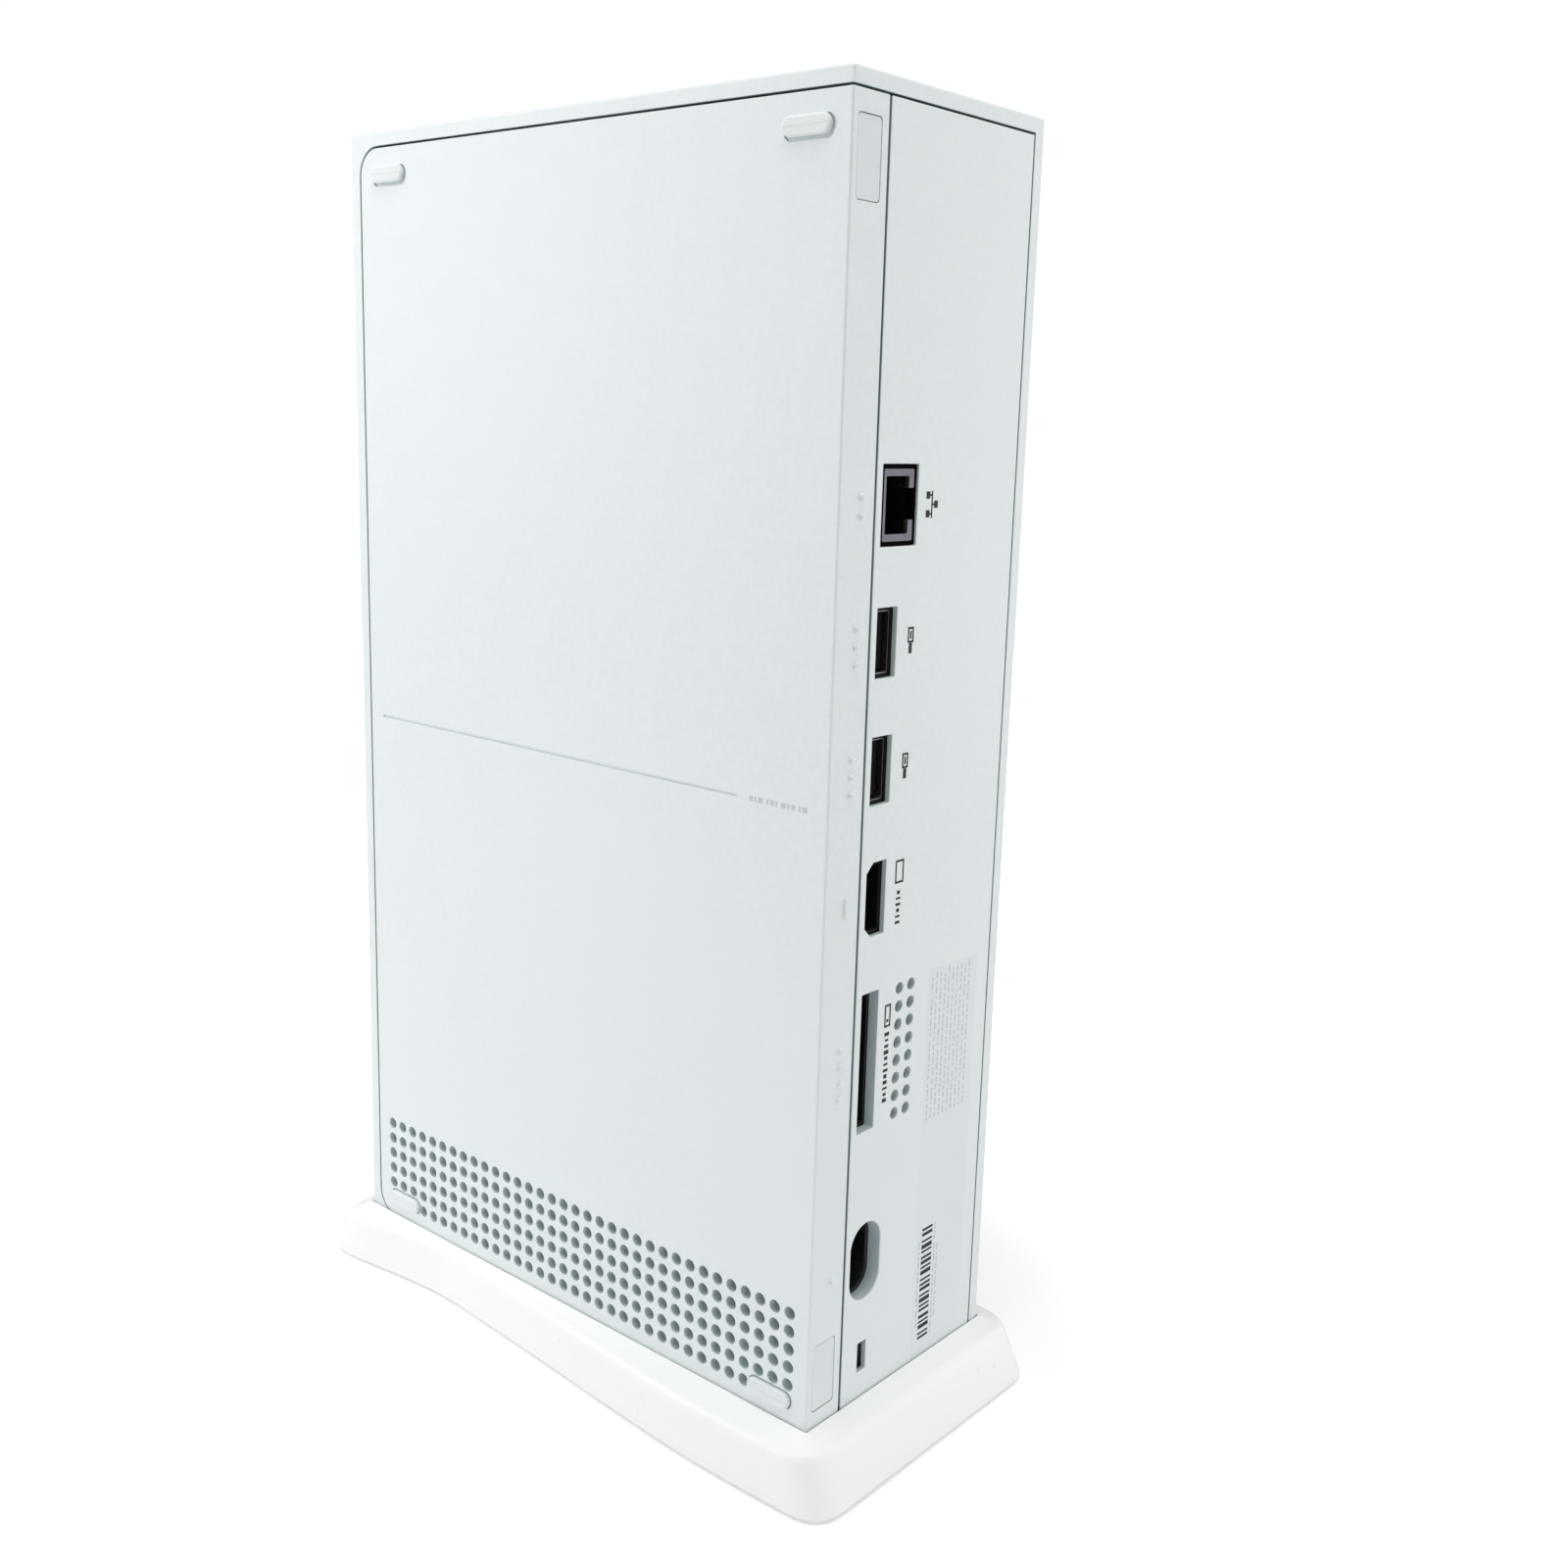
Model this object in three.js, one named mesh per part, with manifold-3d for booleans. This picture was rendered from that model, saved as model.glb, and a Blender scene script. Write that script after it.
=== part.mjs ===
// A slab-shaped game console standing on end in a low tray-like stand.
// Millimetres, +Z up. The origin is on the ground under the middle of the stand. The port panel faces +Y,
// the front with its buttons faces -Y, the underside with its rubber feet faces +X, and the round fan
// grille faces -X.
import * as THREE from "three";
import { mergeVertices } from "three/addons/utils/BufferGeometryUtils.js";
import Module from "manifold-3d";

const wasm = await Module();
wasm.setup();

// ---- Driving dimensions -------------------------------------------------------------------------

// The console, in its own frame: x and y from its middle, z from its lower end.
const WIDTH = 63.5;
const DEPTH = 151;
const HEIGHT = 275;
const SIDE = WIDTH / 2;
const BACK = DEPTH / 2;
const MIDDLE = HEIGHT / 2;
const SHELL_WALL = 3.2;
const SEAM = 0.5;
const PANEL_WALL = 2.5;
const TRAY_CORNER = 6;
const GAP = 0.3;

// The underside tray wraps round the back edge as a strip, which ends at this x.
const STRIP_EDGE = 21;
const TRAY_FRONT = -BACK + SHELL_WALL + SEAM;
const TRAY_BOTTOM = SHELL_WALL + SEAM;
const TRAY_TOP = HEIGHT - SHELL_WALL - SEAM;
const TRAY_MIDDLE = (TRAY_FRONT + BACK) / 2;
const TRAY_INSIDE = SIDE - PANEL_WALL;
const BACK_INSIDE = BACK - PANEL_WALL;

// The vent across the lower end of the tray: a square grid of round holes.
const VENT_COLUMNS = 34;
const VENT_ROWS = 6;
const VENT_PITCH = 4.13;
const VENT_HOLE = 1.55;
const VENT_LOWEST = 8.8;
const VENT_COLUMNS_OVER_FOOT = 3;
const VENT_SIDES = 6;

// Rubber feet on the tray, one near each corner, and pads under the lower end.
const FOOT_LENGTH = 12;
const FOOT_WIDTH = 4;
const FOOT_PROUD = 0.9;
const FOOT_SUNK = 0.5;
const FOOT_FROM_END = 9.7;
const FOOT_SPREAD = 63.2;
const END_PAD_LENGTH = 44;
const END_PAD_WIDTH = 7;
const END_PAD_THICK = 1;
const END_PAD_Y = 46;

// Screw covers: labels in a shallow recess at both ends of the strip, over the case screws.
const COVER_X = 26.5;
const COVER_FROM_END = 15.4;
const COVER_WIDTH = 7.2;
const COVER_LENGTH = 15.2;
const COVER_DEEP = 0.5;

// The ports in the back panel: middle height, x range of each opening, and its length along z.
const PORT_X = [11.95, 18.5];
const ETHERNET = { z: 196.8, x: [6.8, 18.5], length: 16 };
const USB_UPPER_Z = 169.9;
const USB_LOWER_Z = 144.1;
const USB_LENGTH = 14.1;
const VIDEO = { z: 117.3, length: 15.7, chamfer: 2.1 };
const STORAGE = { z: 82, x: [12.7, 18.4], length: 30.7 };
const POWER = { z: 36.3, x: 13.45, width: 10.3, length: 17.7 };
const LOCK = { z: 13.8, x: [11.95, 14.95], length: 6.9 };
const BACK_VENT = { x: [1.35, 5.45], z: 81.7, pitch: 4.02, count: 8, radius: 1.4 };

// Raised marks that name the ports by touch: how many stand beside each one.
const MARK_X = 25;
const MARK_PITCH = 3.5;
const MARK_RADIUS = 0.65;
const MARK_PROUD = 0.3;

// The round grille and the fan behind it share one axis along X.
const GRILLE_Z = HEIGHT - 75.5;
const GRILLE_RADIUS = 58;
const GRILLE_THICK = 2.2;
const FAN_HALF = 56;
const FAN_INSIDE = 53;
const FAN_BACK_X = -9.9;
const FAN_FRONT_X = -27.9;

// The front: buttons and a port.
const BUTTON_TRAVEL_GAP = 0.8;
const POWER_BUTTON = { x: -16.5, z: 16.5, radius: 6.8 };
const PAIR_BUTTON = { x: 10, z: 221, radius: 2.3 };
const FRONT_USB = { x: [6.7, 13.3], z: 243, length: 14.1 };
const FRONT_BOARD_Y = [-67.2, -65.9];
const FRONT_BOARD_Z = [209, 259];

// The main board stands parallel to the tray.
const BOARD_X = [20.6, 22.2];
const BOARD_Y = [-62, 70];
const BOARD_Z = [62, 250];
const PROCESSOR = { y: -6, z: 172 };
const SHIELD_X = [26.2, 27];

// The stand: a tray with a flared skirt. The console sinks into it by a few millimetres.
const STAND_HEIGHT = 14.4;
const STAND_LIFT = 0.6;
const STAND_HALF_LENGTH = 86.5;
const STAND_FLARE = 0.055;
const STAND_WALL = 2.6;
const STAND_FLOOR = 3;
const STAND_ROUNDING = 2.5;
const CONSOLE_LIFT = 10;
const POCKET_CLEARANCE = 0.35;
const PAD_RADIUS = 6;

// ---- Colours and finishes -----------------------------------------------------------------------

function finish(color, roughness, metalness = 0) {
  return () => new THREE.MeshStandardMaterial({ color, roughness, metalness });
}

const whiteShell = finish(0xe6eaea, 0.5);
const whiteTray = finish(0xdfe4e5, 0.55);
const whiteStand = finish(0xf4f5f5, 0.4);
const whiteRubber = finish(0xe9eceb, 0.8);
const greyRubber = finish(0x8c9091, 0.85);
const blackPlastic = finish(0x141516, 0.45);
const darkPlastic = finish(0x2a2c2e, 0.6);
const label = finish(0xd6dbdc, 0.65);
const steel = finish(0xa9adb0, 0.3, 1);
const nickel = finish(0x8e9195, 0.25, 1);
const aluminium = finish(0xb9bdc1, 0.35, 1);
const boardGreen = finish(0x17402c, 0.5);
const chipBlack = finish(0x1a1b1d, 0.4);
const flexAmber = finish(0xb06a1e, 0.5);

// ---- Shape helpers ------------------------------------------------------------------------------

// A closed geometry as a solid that can be joined and cut.
function solid(geometry) {
  const bare = new THREE.BufferGeometry();
  bare.setAttribute("position", geometry.getAttribute("position"));
  if (geometry.index) bare.setIndex(geometry.index);
  const merged = mergeVertices(bare, 1e-4);
  const data = {
    numProp: 3,
    vertProperties: new Float32Array(merged.attributes.position.array),
    triVerts: new Uint32Array(merged.index.array),
  };
  return new wasm.Manifold(new wasm.Mesh(data));
}

function geometryOf(body) {
  const { vertProperties, triVerts } = body.getMesh();
  const geometry = new THREE.BufferGeometry();
  geometry.setAttribute("position", new THREE.BufferAttribute(vertProperties, 3));
  geometry.setIndex(new THREE.BufferAttribute(triVerts, 1));
  geometry.computeVertexNormals();
  return geometry;
}

function join(first, ...others) {
  return others.reduce((whole, other) => whole.add(other), first);
}

function cut(first, ...others) {
  return others.reduce((whole, other) => whole.subtract(other), first);
}

// A range of one coordinate about its middle.
function about(middle, length) {
  return [middle - length / 2, middle + length / 2];
}

function box([x0, x1], [y0, y1], [z0, z1]) {
  const geometry = new THREE.BoxGeometry(x1 - x0, y1 - y0, z1 - z0);
  return solid(geometry.translate((x0 + x1) / 2, (y0 + y1) / 2, (z0 + z1) / 2));
}

// Each axis's outline plane: along x it is (y, z), along y it is (x, z) and along z it is (x, y).
const FRAMES = {
  x: [new THREE.Vector3(0, 1, 0), new THREE.Vector3(0, 0, 1), new THREE.Vector3(1, 0, 0)],
  y: [new THREE.Vector3(1, 0, 0), new THREE.Vector3(0, 0, 1), new THREE.Vector3(0, -1, 0)],
  z: [new THREE.Vector3(1, 0, 0), new THREE.Vector3(0, 1, 0), new THREE.Vector3(0, 0, 1)],
};

// An outline swept straight along an axis from one coordinate to the other.
function prism(shape, axis, [from, to], curveSegments = 2) {
  const options = { depth: to - from, bevelEnabled: false, curveSegments };
  const geometry = new THREE.ExtrudeGeometry(shape, options);
  const start = axis === "y" ? to : from;
  const placed = new THREE.Matrix4().makeBasis(...FRAMES[axis]);
  placed.setPosition(...["x", "y", "z"].map((name) => (name === axis ? start : 0)));
  return solid(geometry.applyMatrix4(placed));
}

function polygon(points) {
  return new THREE.Shape(points.map(([u, v]) => new THREE.Vector2(u, v)));
}

function regular(u, v, radius, sides) {
  const turn = (2 * Math.PI) / sides;
  const corner = (_, i) => [u + radius * Math.cos(i * turn), v + radius * Math.sin(i * turn)];
  return polygon(Array.from({ length: sides }, corner));
}

// A rectangle with rounded corners, given as one radius or four: low u low v, then round to low u high v.
function roundedRectangle([u0, u1], [v0, v1], radius) {
  const [a, b, c, d] = Array.isArray(radius) ? radius : [radius, radius, radius, radius];
  const shape = new THREE.Shape();
  const quarter = Math.PI / 2;
  const corner = (u, v, r, from) => {
    if (r > 0) shape.absarc(u, v, r, from, from + quarter);
    else shape.lineTo(u, v);
  };
  shape.moveTo(u0 + a, v0);
  corner(u1 - b, v0 + b, b, -quarter);
  corner(u1 - c, v1 - c, c, 0);
  corner(u0 + d, v1 - d, d, quarter);
  corner(u0 + a, v0 + a, a, 2 * quarter);
  return shape;
}

function disc(axis, u, v, radius, range, sides = 16) {
  return prism(regular(u, v, radius, sides), axis, range);
}

function pill(axis, [u0, u1], [v0, v1], range) {
  const radius = Math.min(u1 - u0, v1 - v0) / 2 - 0.01;
  return prism(roundedRectangle([u0, u1], [v0, v1], radius), axis, range);
}

// ---- The scene graph ----------------------------------------------------------------------------

const unit = new THREE.Group();
const consoleGroup = new THREE.Group();
consoleGroup.position.z = CONSOLE_LIFT;
unit.add(consoleGroup);

function place(group, name, body, material) {
  const mesh = new THREE.Mesh(geometryOf(body), material());
  mesh.name = name;
  group.add(mesh);
}

function add(name, body, material) {
  place(consoleGroup, name, body, material);
}

// ---- Outer shell --------------------------------------------------------------------------------

// The heights of the two case screws, each under its cover.
const covers = [HEIGHT - COVER_FROM_END, COVER_FROM_END];

// The lugs inside each end that the case screws bite into.
const LUG = { x: [21.8, 28.9], y: [55, 65.6], reach: 20.5 };

function shellLug(z) {
  const wall = z > MIDDLE ? HEIGHT - 1 : 1;
  const range = z > MIDDLE ? [HEIGHT - LUG.reach, wall] : [wall, LUG.reach];
  const block = box(LUG.x, LUG.y, range);
  return cut(block, disc("y", COVER_X, z, 1.5, [LUG.y[0] + 1, LUG.y[1] + 1], 8));
}

// One moulding: front, both ends and the grille side. It is open towards the tray and the back panel.
function outerShell() {
  const outside = box([-SIDE, SIDE], [-BACK, BACK], [0, HEIGHT]);
  const inner = TRAY_CORNER + SEAM;
  const hollow = roundedRectangle(
    [-BACK + SHELL_WALL, BACK + 5],
    [SHELL_WALL, HEIGHT - SHELL_WALL],
    [inner, 0, 0, inner],
  );
  const hollowed = cut(outside, prism(hollow, "x", [-SIDE + SHELL_WALL, SIDE + 5], 5));
  return cut(
    join(hollowed, ...covers.map(shellLug)),
    disc("x", 0, GRILLE_Z, GRILLE_RADIUS + GAP, [-SIDE - 1, 0], 48),
    disc("y", POWER_BUTTON.x, POWER_BUTTON.z, POWER_BUTTON.radius + GAP, [-BACK - 1, 0], 24),
    disc("y", PAIR_BUTTON.x, PAIR_BUTTON.z, PAIR_BUTTON.radius + GAP, [-BACK - 1, 0], 12),
    box(FRONT_USB.x, [-BACK - 1, 0], about(FRONT_USB.z, FRONT_USB.length)),
  );
}

add("outer_shell", outerShell(), whiteShell);

// ---- Underside tray -----------------------------------------------------------------------------

function ventHoles() {
  const holes = [];
  for (let row = 0; row < VENT_ROWS; row++) {
    for (let column = 0; column < VENT_COLUMNS; column++) {
      const nearestEnd = Math.min(column, VENT_COLUMNS - 1 - column);
      if (row === 0 && nearestEnd < VENT_COLUMNS_OVER_FOOT) continue;
      const y = TRAY_MIDDLE + (column - (VENT_COLUMNS - 1) / 2) * VENT_PITCH;
      const z = VENT_LOWEST + row * VENT_PITCH;
      holes.push(regular(y, z, VENT_HOLE, VENT_SIDES));
    }
  }
  return holes;
}

const feet = [];
for (const end of [FOOT_FROM_END, HEIGHT - FOOT_FROM_END]) {
  for (const side of [-1, 1]) feet.push({ y: TRAY_MIDDLE + side * FOOT_SPREAD, z: end });
}

// Raised marks on the strip: dots for data ports, a bar for video, one small dot for power.
function touchMarks() {
  const rows = [
    [ETHERNET.z, 2],
    [USB_UPPER_Z, 3],
    [USB_LOWER_Z, 3],
    [STORAGE.z, 4],
    [POWER.z, 1],
  ];
  const marks = [];
  for (const [middle, count] of rows) {
    for (let i = 0; i < count; i++) {
      const z = middle + (i - (count - 1) / 2) * MARK_PITCH;
      marks.push(disc("y", MARK_X, z, MARK_RADIUS, [BACK - 1, BACK + MARK_PROUD], 6));
    }
  }
  const bar = about(VIDEO.z, 4.6);
  marks.push(box(about(MARK_X, 1.3), [BACK - 1, BACK + MARK_PROUD], bar));
  return marks;
}

function coverRecess(z) {
  const recess = box(about(COVER_X, COVER_WIDTH), [BACK - COVER_DEEP, BACK + 1], about(z, COVER_LENGTH));
  const head = disc("y", COVER_X, z, 3.1, [72, BACK], 12);
  const shank = disc("y", COVER_X, z, 1.7, [60, BACK], 12);
  return join(recess, head, shank);
}

function baseTray() {
  const outline = roundedRectangle(
    [TRAY_FRONT, BACK],
    [TRAY_BOTTOM, TRAY_TOP],
    [TRAY_CORNER, 0, 0, TRAY_CORNER],
  );
  outline.holes.push(...ventHoles());
  const panel = prism(outline, "x", [TRAY_INSIDE, SIDE], 5);
  const strip = box([STRIP_EDGE, SIDE], [BACK_INSIDE, BACK], [TRAY_BOTTOM, TRAY_TOP]);
  const lipOutside = roundedRectangle(
    [TRAY_FRONT + 0.2, BACK_INSIDE + 1],
    [TRAY_BOTTOM + 0.2, TRAY_TOP - 0.2],
    [TRAY_CORNER, 0, 0, TRAY_CORNER],
  );
  const lipInside = roundedRectangle(
    [TRAY_FRONT + 2.2, BACK_INSIDE + 2],
    [TRAY_BOTTOM + 2.2, TRAY_TOP - 2.2],
    [TRAY_CORNER - 2, 0, 0, TRAY_CORNER - 2],
  );
  const lip = cut(
    prism(lipOutside, "x", [TRAY_INSIDE - 4, TRAY_INSIDE + 1]),
    prism(lipInside, "x", [TRAY_INSIDE - 5, TRAY_INSIDE]),
  );
  const lugClearance = [LUG.y[0] - 0.5, LUG.y[1] + 0.4];
  const notched = cut(lip, box([0, TRAY_INSIDE], lugClearance, [0, HEIGHT]));
  const bosses = covers.map((z) => disc("y", COVER_X, z, 4.6, [66, BACK_INSIDE + 1], 12));
  const whole = join(panel, strip, notched, ...bosses, ...touchMarks());
  const sockets = feet.map(({ y, z }) =>
    pill("x", about(y, FOOT_LENGTH + 2 * GAP), about(z, FOOT_WIDTH + 2 * GAP), [SIDE - FOOT_SUNK, SIDE + 1]),
  );
  const midLine = box([SIDE - 0.4, SIDE + 1], [-67.1, 51.7], about(MIDDLE, 0.6));
  return cut(whole, ...covers.map(coverRecess), ...sockets, midLine);
}

add("base_tray", baseTray(), whiteTray);

feet.forEach(({ y, z }, i) => {
  const range = [SIDE - FOOT_SUNK + GAP, SIDE + FOOT_PROUD];
  add(`base_foot_${i + 1}`, pill("x", about(y, FOOT_LENGTH), about(z, FOOT_WIDTH), range), whiteRubber);
});

["front", "back"].forEach((name, i) => {
  const y = (i * 2 - 1) * END_PAD_Y;
  const pad = pill("z", about(0, END_PAD_LENGTH), about(y, END_PAD_WIDTH), [-END_PAD_THICK, -0.05]);
  add(`end_pad_${name}`, pad, whiteRubber);
});

// A screw whose head is at the low or high end of its length, along an axis.
function screw(axis, u, v, [from, to], headRadius, headThick, shankRadius) {
  const head = disc(axis, u, v, headRadius, [to - headThick, to], 12);
  const shank = disc(axis, u, v, shankRadius, [from, to - headThick / 2], 8);
  const drive = disc(axis, u, v, headRadius * 0.45, [to - headThick * 0.5, to + 1], 6);
  return cut(join(head, shank), drive);
}

covers.forEach((z, i) => {
  const name = i === 0 ? "upper" : "lower";
  const sheet = box(about(COVER_X, COVER_WIDTH - 2 * GAP), [75.1, 75.4], about(z, COVER_LENGTH - 2 * GAP));
  add(`screw_cover_${name}`, sheet, label);
  add(`case_screw_${name}`, screw("y", COVER_X, z, [58, 74.5], 2.7, 2.1, 1.2), steel);
});

// ---- Back panel and what plugs into it ----------------------------------------------------------

function videoOutline(clearance) {
  const [x0, x1] = PORT_X;
  const half = VIDEO.length / 2;
  const c = VIDEO.chamfer;
  const s = clearance;
  return polygon([
    [x0 + s, VIDEO.z - half + s],
    [x1 - c, VIDEO.z - half + s],
    [x1 - s, VIDEO.z - half + c],
    [x1 - s, VIDEO.z + half - c],
    [x1 - c, VIDEO.z + half - s],
    [x0 + s, VIDEO.z + half - s],
  ]);
}

function rectangle([u0, u1], [v0, v1]) {
  return polygon([
    [u0, v0],
    [u1, v0],
    [u1, v1],
    [u0, v1],
  ]);
}

function powerOutline(clearance) {
  const width = POWER.width - 2 * clearance;
  const length = POWER.length - 2 * clearance;
  return roundedRectangle(about(POWER.x, width), about(POWER.z, length), width / 2 - 0.01);
}

function rearPanel() {
  const outline = rectangle([-SIDE + SHELL_WALL + SEAM, STRIP_EDGE - SEAM], [TRAY_BOTTOM, TRAY_TOP]);
  outline.holes.push(
    rectangle(ETHERNET.x, about(ETHERNET.z, ETHERNET.length)),
    rectangle(PORT_X, about(USB_UPPER_Z, USB_LENGTH)),
    rectangle(PORT_X, about(USB_LOWER_Z, USB_LENGTH)),
    videoOutline(0),
    rectangle(STORAGE.x, about(STORAGE.z, STORAGE.length)),
    powerOutline(0),
    rectangle(LOCK.x, about(LOCK.z, LOCK.length)),
  );
  for (const x of BACK_VENT.x) {
    for (let i = 0; i < BACK_VENT.count; i++) {
      const z = BACK_VENT.z + (i - (BACK_VENT.count - 1) / 2) * BACK_VENT.pitch;
      outline.holes.push(regular(x, z, BACK_VENT.radius, VENT_SIDES));
    }
  }
  return prism(outline, "y", [BACK_INSIDE, BACK], 4);
}

add("rear_panel", rearPanel(), whiteShell);

// A can-shaped socket: a body behind the panel and a mouth inside the panel's opening.
function socket(bodyX, bodyZ, bodyY, mouthX, mouthZ, mouthEnd, cavityX, cavityZ, cavityFloor) {
  const body = box(bodyX, bodyY, bodyZ);
  const mouth = box(mouthX, [bodyY[1] - 1, mouthEnd], mouthZ);
  return cut(join(body, mouth), box(cavityX, [cavityFloor, BACK + 1], cavityZ));
}

function ethernetJack() {
  const { z } = ETHERNET;
  const bodyY = [52, BACK_INSIDE - GAP];
  const shell = socket([6.6, 20.3], about(z, 16.4), bodyY, [7.2, 17.9], about(z, 15), BACK - 0.6, [9.2, 17.4], about(z, 12.8), 62);
  const latch = box([7.6, 10], [62, BACK + 1], about(z, 6.8));
  return cut(shell, latch);
}

function usbPort(x, z, front, panel, mouth) {
  // The mouth faces +Y when front is 1 and -Y when it is -1.
  const middle = (x[0] + x[1]) / 2;
  const side = (from, to) => (front > 0 ? [from, to] : [-to, -from]);
  const body = box(about(middle, 5.7), side(panel - 13.5, mouth), about(z, 13.2));
  const cavity = box(about(middle, 4.9), side(panel - 10.5, mouth + 1), about(z, 12.3));
  const tongue = box([middle - 2.0, middle - 0.2], side(panel - 11, mouth - 1.6), about(z, 11.1));
  return join(cut(body, cavity), tongue);
}

function videoPort() {
  const middle = (PORT_X[0] + PORT_X[1]) / 2;
  const body = prism(videoOutline(0.4), "y", [60, BACK - 1.4]);
  const cavity = box(about(middle - 0.4, 4.1), [63.5, BACK + 1], about(VIDEO.z, 13.4));
  const tongue = box(about(middle - 0.3, 1.4), [63, BACK - 3], about(VIDEO.z, 11));
  return join(cut(body, cavity), tongue);
}

function storageSlot() {
  const shell = socket(
    [11.6, 19.6],
    about(STORAGE.z, 33.4),
    [46, BACK_INSIDE - GAP],
    [STORAGE.x[0] + GAP, STORAGE.x[1] - GAP],
    about(STORAGE.z, STORAGE.length - 2 * GAP),
    BACK - 1.2,
    [13.3, 17.8],
    about(STORAGE.z, 29.4),
    50,
  );
  const tongue = box([15, 16], [49, 54], about(STORAGE.z, 22));
  return join(shell, tongue);
}

function acInlet() {
  const body = box([6, 20.3], [54, BACK_INSIDE - GAP], about(POWER.z, 23));
  const mouth = prism(powerOutline(GAP), "y", [BACK_INSIDE - 1, BACK - 1.2], 3);
  const recess = pill("y", about(POWER.x, 8.3), about(POWER.z, 15.7), [60.5, BACK + 1]);
  const pins = [-1, 1].map((side) => {
    return disc("y", POWER.x, POWER.z + side * 4.3, 1.2, [60, 71], 8);
  });
  return join(cut(join(body, mouth), recess), ...pins);
}

function lockBracket() {
  const plate = box([6.5, 19], [BACK_INSIDE - GAP - 1.5, BACK_INSIDE - GAP], [7, 21.5]);
  return cut(plate, box([11.8, 15.1], [60, BACK], about(LOCK.z, 7.2)));
}

add("ethernet_jack", ethernetJack(), nickel);
add("usb_port_upper", usbPort(PORT_X, USB_UPPER_Z, 1, BACK_INSIDE, BACK - 1.2), nickel);
add("usb_port_lower", usbPort(PORT_X, USB_LOWER_Z, 1, BACK_INSIDE, BACK - 1.2), nickel);
add("video_port", videoPort(), nickel);
add("storage_slot", storageSlot(), blackPlastic);
add("ac_inlet", acInlet(), blackPlastic);
add("lock_bracket", lockBracket(), steel);

// ---- Round grille and fan -----------------------------------------------------------------------

// An arc-shaped slot between two radii, centred on the grille's axis.
function arcSlot(inner, outer, from, to, steps) {
  const at = (radius, angle) => [radius * Math.cos(angle), GRILLE_Z + radius * Math.sin(angle)];
  const angles = Array.from({ length: steps + 1 }, (_, i) => from + ((to - from) * i) / steps);
  const outside = angles.map((angle) => at(outer, angle));
  const inside = angles.map((angle) => at(inner, angle)).reverse();
  return polygon([...outside, ...inside]);
}

function fanGrille() {
  const plate = regular(0, GRILLE_Z, GRILLE_RADIUS, 48);
  const rings = 4;
  const pitch = 12;
  for (let ring = 1; ring <= rings; ring++) {
    const count = 4 + 3 * ring;
    const turn = (2 * Math.PI) / count;
    const bridge = 2.6 / (ring * pitch);
    for (let i = 0; i < count; i++) {
      const from = i * turn + bridge / 2;
      plate.holes.push(arcSlot(ring * pitch - 4, ring * pitch + 4, from, (i + 1) * turn - bridge / 2, 2));
    }
  }
  return prism(plate, "x", [-SIDE + 0.6, -SIDE + 0.6 + GRILLE_THICK]);
}

function fanFrame() {
  const side = about(0, 2 * FAN_HALF);
  const outline = roundedRectangle(side, about(GRILLE_Z, 2 * FAN_HALF), 8);
  outline.holes.push(regular(0, GRILLE_Z, FAN_INSIDE, 36));
  const ring = prism(outline, "x", [FAN_FRONT_X, FAN_BACK_X]);
  const web = [FAN_BACK_X - 2, FAN_BACK_X];
  const hub = disc("x", 0, GRILLE_Z, 20, web, 24);
  const struts = box(web, about(0, 2 * FAN_INSIDE + 2), about(GRILLE_Z, 6));
  const posts = box(web, about(0, 6), about(GRILLE_Z, 2 * FAN_INSIDE + 2));
  const bearing = disc("x", 0, GRILLE_Z, 3, [FAN_BACK_X - 8, FAN_BACK_X], 12);
  return join(ring, hub, struts, posts, bearing);
}

function fanRotor() {
  const hubFront = FAN_FRONT_X + 1.5;
  const hubBack = FAN_BACK_X - 2 - 1;
  const cup = cut(
    disc("x", 0, GRILLE_Z, 19, [hubFront, hubBack], 24),
    disc("x", 0, GRILLE_Z, 3.4, [hubFront + 4, hubBack + 1], 12),
  );
  const blades = [];
  const count = 9;
  for (let i = 0; i < count; i++) {
    const blade = new THREE.BoxGeometry(1.6, 33, 15);
    blade.rotateY(THREE.MathUtils.degToRad(58));
    blade.translate(0, 34, 0);
    blade.rotateX((i * 2 * Math.PI) / count);
    blade.translate((hubFront + hubBack) / 2, 0, GRILLE_Z);
    blades.push(solid(blade));
  }
  return join(cup, ...blades);
}

add("fan_grille", fanGrille(), blackPlastic);
add("fan_frame", fanFrame(), blackPlastic);
add("fan_rotor", fanRotor(), blackPlastic);

// ---- Front controls -----------------------------------------------------------------------------

const SHELL_INSIDE_Y = -BACK + SHELL_WALL;
const STEM_END_Y = FRONT_BOARD_Y[0] - 1.6;

// A cap that shows through the shell, with a flange behind the wall and a stem towards its switch.
function button({ x, z, radius }) {
  const sides = radius > 4 ? 24 : 12;
  const cap = disc("y", x, z, radius, [-BACK + 0.1, SHELL_INSIDE_Y + 1], sides);
  const flange = disc("y", x, z, radius + 1.4, [SHELL_INSIDE_Y + GAP, SHELL_INSIDE_Y + 1.5], sides);
  const stem = disc("y", x, z, 1.4, [SHELL_INSIDE_Y + 1, STEM_END_Y], 8);
  return join(cap, flange, stem);
}

function buttonSwitch({ x, z }) {
  const face = FRONT_BOARD_Y[0] - GAP;
  const can = box(about(x, 5), [face - 0.3, face], about(z, 5));
  const dome = disc("y", x, z, 1.2, [STEM_END_Y + BUTTON_TRAVEL_GAP, face - 0.1], 8);
  return join(can, dome);
}

add("power_button", button(POWER_BUTTON), whiteShell);
add("pair_button", button(PAIR_BUTTON), whiteShell);
add("power_switch", buttonSwitch(POWER_BUTTON), steel);
add("pair_switch", buttonSwitch(PAIR_BUTTON), steel);

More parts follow.
